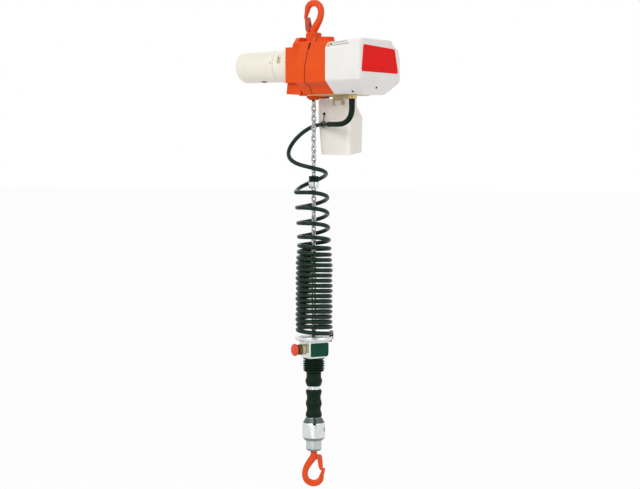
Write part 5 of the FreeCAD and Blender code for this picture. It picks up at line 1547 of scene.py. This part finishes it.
def make_room(settings):
    """World light: even and soft, and plain white where it is seen directly or mirrored."""
    world = bpy.data.worlds.new("Room")
    bpy.context.scene.world = world
    world.use_nodes = True
    nodes, links = world.node_tree.nodes, world.node_tree.links
    background = nodes["Background"]
    background.inputs["Color"].default_value = (1, 1, 1, 1)
    level = nodes.new("ShaderNodeMapRange")
    level.inputs["To Min"].default_value = settings.ambient
    level.inputs["To Max"].default_value = 1.0
    links.new(seen_directly(nodes, links), level.inputs["Value"])
    links.new(level.outputs["Result"], background.inputs["Strength"])


# Operators, panel and run


class HoistBackdrop(bpy.types.Operator):
    """Add the stage: camera, lamps, floor and room."""

    bl_idname = "hoist.stage"
    bl_label = "Stage"

    def execute(self, context):
        make_stage(context.scene.hoist_stage)
        return {"FINISHED"}


class HoistHooks(bpy.types.Operator):
    """Add both forged hooks and their latches."""

    bl_idname = "hoist.hooks"
    bl_label = "Hooks"

    def execute(self, context):
        make_hooks()
        return {"FINISHED"}


class HoistChain(bpy.types.Operator):
    """Add the load chain."""

    bl_idname = "hoist.chain"
    bl_label = "Load chain"

    def execute(self, context):
        make_chain(context.scene.hoist_sizes)
        return {"FINISHED"}


class HoistCord(bpy.types.Operator):
    """Add the curly control cord and its sleeve."""

    bl_idname = "hoist.cord"
    bl_label = "Control cord"

    def execute(self, context):
        make_cord(context.scene.hoist_sizes)
        return {"FINISHED"}


class HoistCasing(bpy.types.Operator):
    """Add the gear casing and the yoke."""

    bl_idname = "hoist.casing"
    bl_label = "Gear casing"

    def execute(self, context):
        make_casing(context.scene.hoist_sizes)
        return {"FINISHED"}


class HoistMotor(bpy.types.Operator):
    """Add the motor housing."""

    bl_idname = "hoist.motor"
    bl_label = "Motor housing"

    def execute(self, context):
        make_motor()
        return {"FINISHED"}


class HoistController(bpy.types.Operator):
    """Add the controller's cover and end plate."""

    bl_idname = "hoist.controller"
    bl_label = "Controller"

    def execute(self, context):
        make_controller(context.scene.hoist_sizes)
        return {"FINISHED"}


class HoistUnderside(bpy.types.Operator):
    """Add what sits under the casing: plate, guide, container, gland, cushion and stopper."""

    bl_idname = "hoist.underside"
    bl_label = "Underside"

    def execute(self, context):
        make_underside()
        return {"FINISHED"}


class HoistUnit(bpy.types.Operator):
    """Add the control unit with its stop button."""

    bl_idname = "hoist.unit"
    bl_label = "Control unit"

    def execute(self, context):
        make_unit()
        return {"FINISHED"}


class HoistGrips(bpy.types.Operator):
    """Add the bellows, finger sleeve and lower grip."""

    bl_idname = "hoist.grips"
    bl_label = "Grips"

    def execute(self, context):
        make_grips()
        return {"FINISHED"}


class HoistCoupler(bpy.types.Operator):
    """Add the coupler and its barrel."""

    bl_idname = "hoist.coupler"
    bl_label = "Coupler"

    def execute(self, context):
        make_coupler()
        return {"FINISHED"}


class HoistInside(bpy.types.Operator):
    """Give the pieces inside their finishes."""

    bl_idname = "hoist.inside"
    bl_label = "Inner pieces"

    def execute(self, context):
        make_inside()
        return {"FINISHED"}


STEPS = (HoistBackdrop, HoistCord, HoistChain, HoistHooks, HoistCasing, HoistMotor, HoistController,
         HoistUnderside, HoistUnit, HoistGrips, HoistCoupler, HoistInside)


class HoistPanel(bpy.types.Panel):
    """Sidebar panel that lists the hoist's steps and sizes."""

    bl_idname = "VIEW3D_PT_hoist"
    bl_label = "Chain hoist"
    bl_space_type = "VIEW_3D"
    bl_region_type = "UI"
    bl_category = "Hoist"

    def draw(self, context):
        scene = context.scene
        for settings in (scene.hoist_sizes, scene.hoist_colours, scene.hoist_stage):
            box = self.layout.box()
            for name in settings.__annotations__:
                box.prop(settings, name)
        for step in STEPS:
            self.layout.operator(step.bl_idname)


CLASSES = (HoistSizes, HoistColours, HoistStage, *STEPS, HoistPanel)


def register():
    """Register the classes and their settings."""
    for entry in CLASSES:
        bpy.utils.register_class(entry)
    bpy.types.Scene.hoist_sizes = bpy.props.PointerProperty(type=HoistSizes)
    bpy.types.Scene.hoist_colours = bpy.props.PointerProperty(type=HoistColours)
    bpy.types.Scene.hoist_stage = bpy.props.PointerProperty(type=HoistStage)


def unregister():
    """Take the settings and classes away again."""
    del bpy.types.Scene.hoist_stage
    del bpy.types.Scene.hoist_colours
    del bpy.types.Scene.hoist_sizes
    for entry in reversed(CLASSES):
        bpy.utils.unregister_class(entry)


def main():
    """Make every piece in order."""
    register()
    bpy.ops.hoist.stage()
    bpy.ops.hoist.cord()
    bpy.ops.hoist.chain()
    bpy.ops.hoist.hooks()
    bpy.ops.hoist.casing()
    bpy.ops.hoist.motor()
    bpy.ops.hoist.controller()
    bpy.ops.hoist.underside()
    bpy.ops.hoist.unit()
    bpy.ops.hoist.grips()
    bpy.ops.hoist.coupler()
    bpy.ops.hoist.inside()


if __name__ == "__main__":
    main()
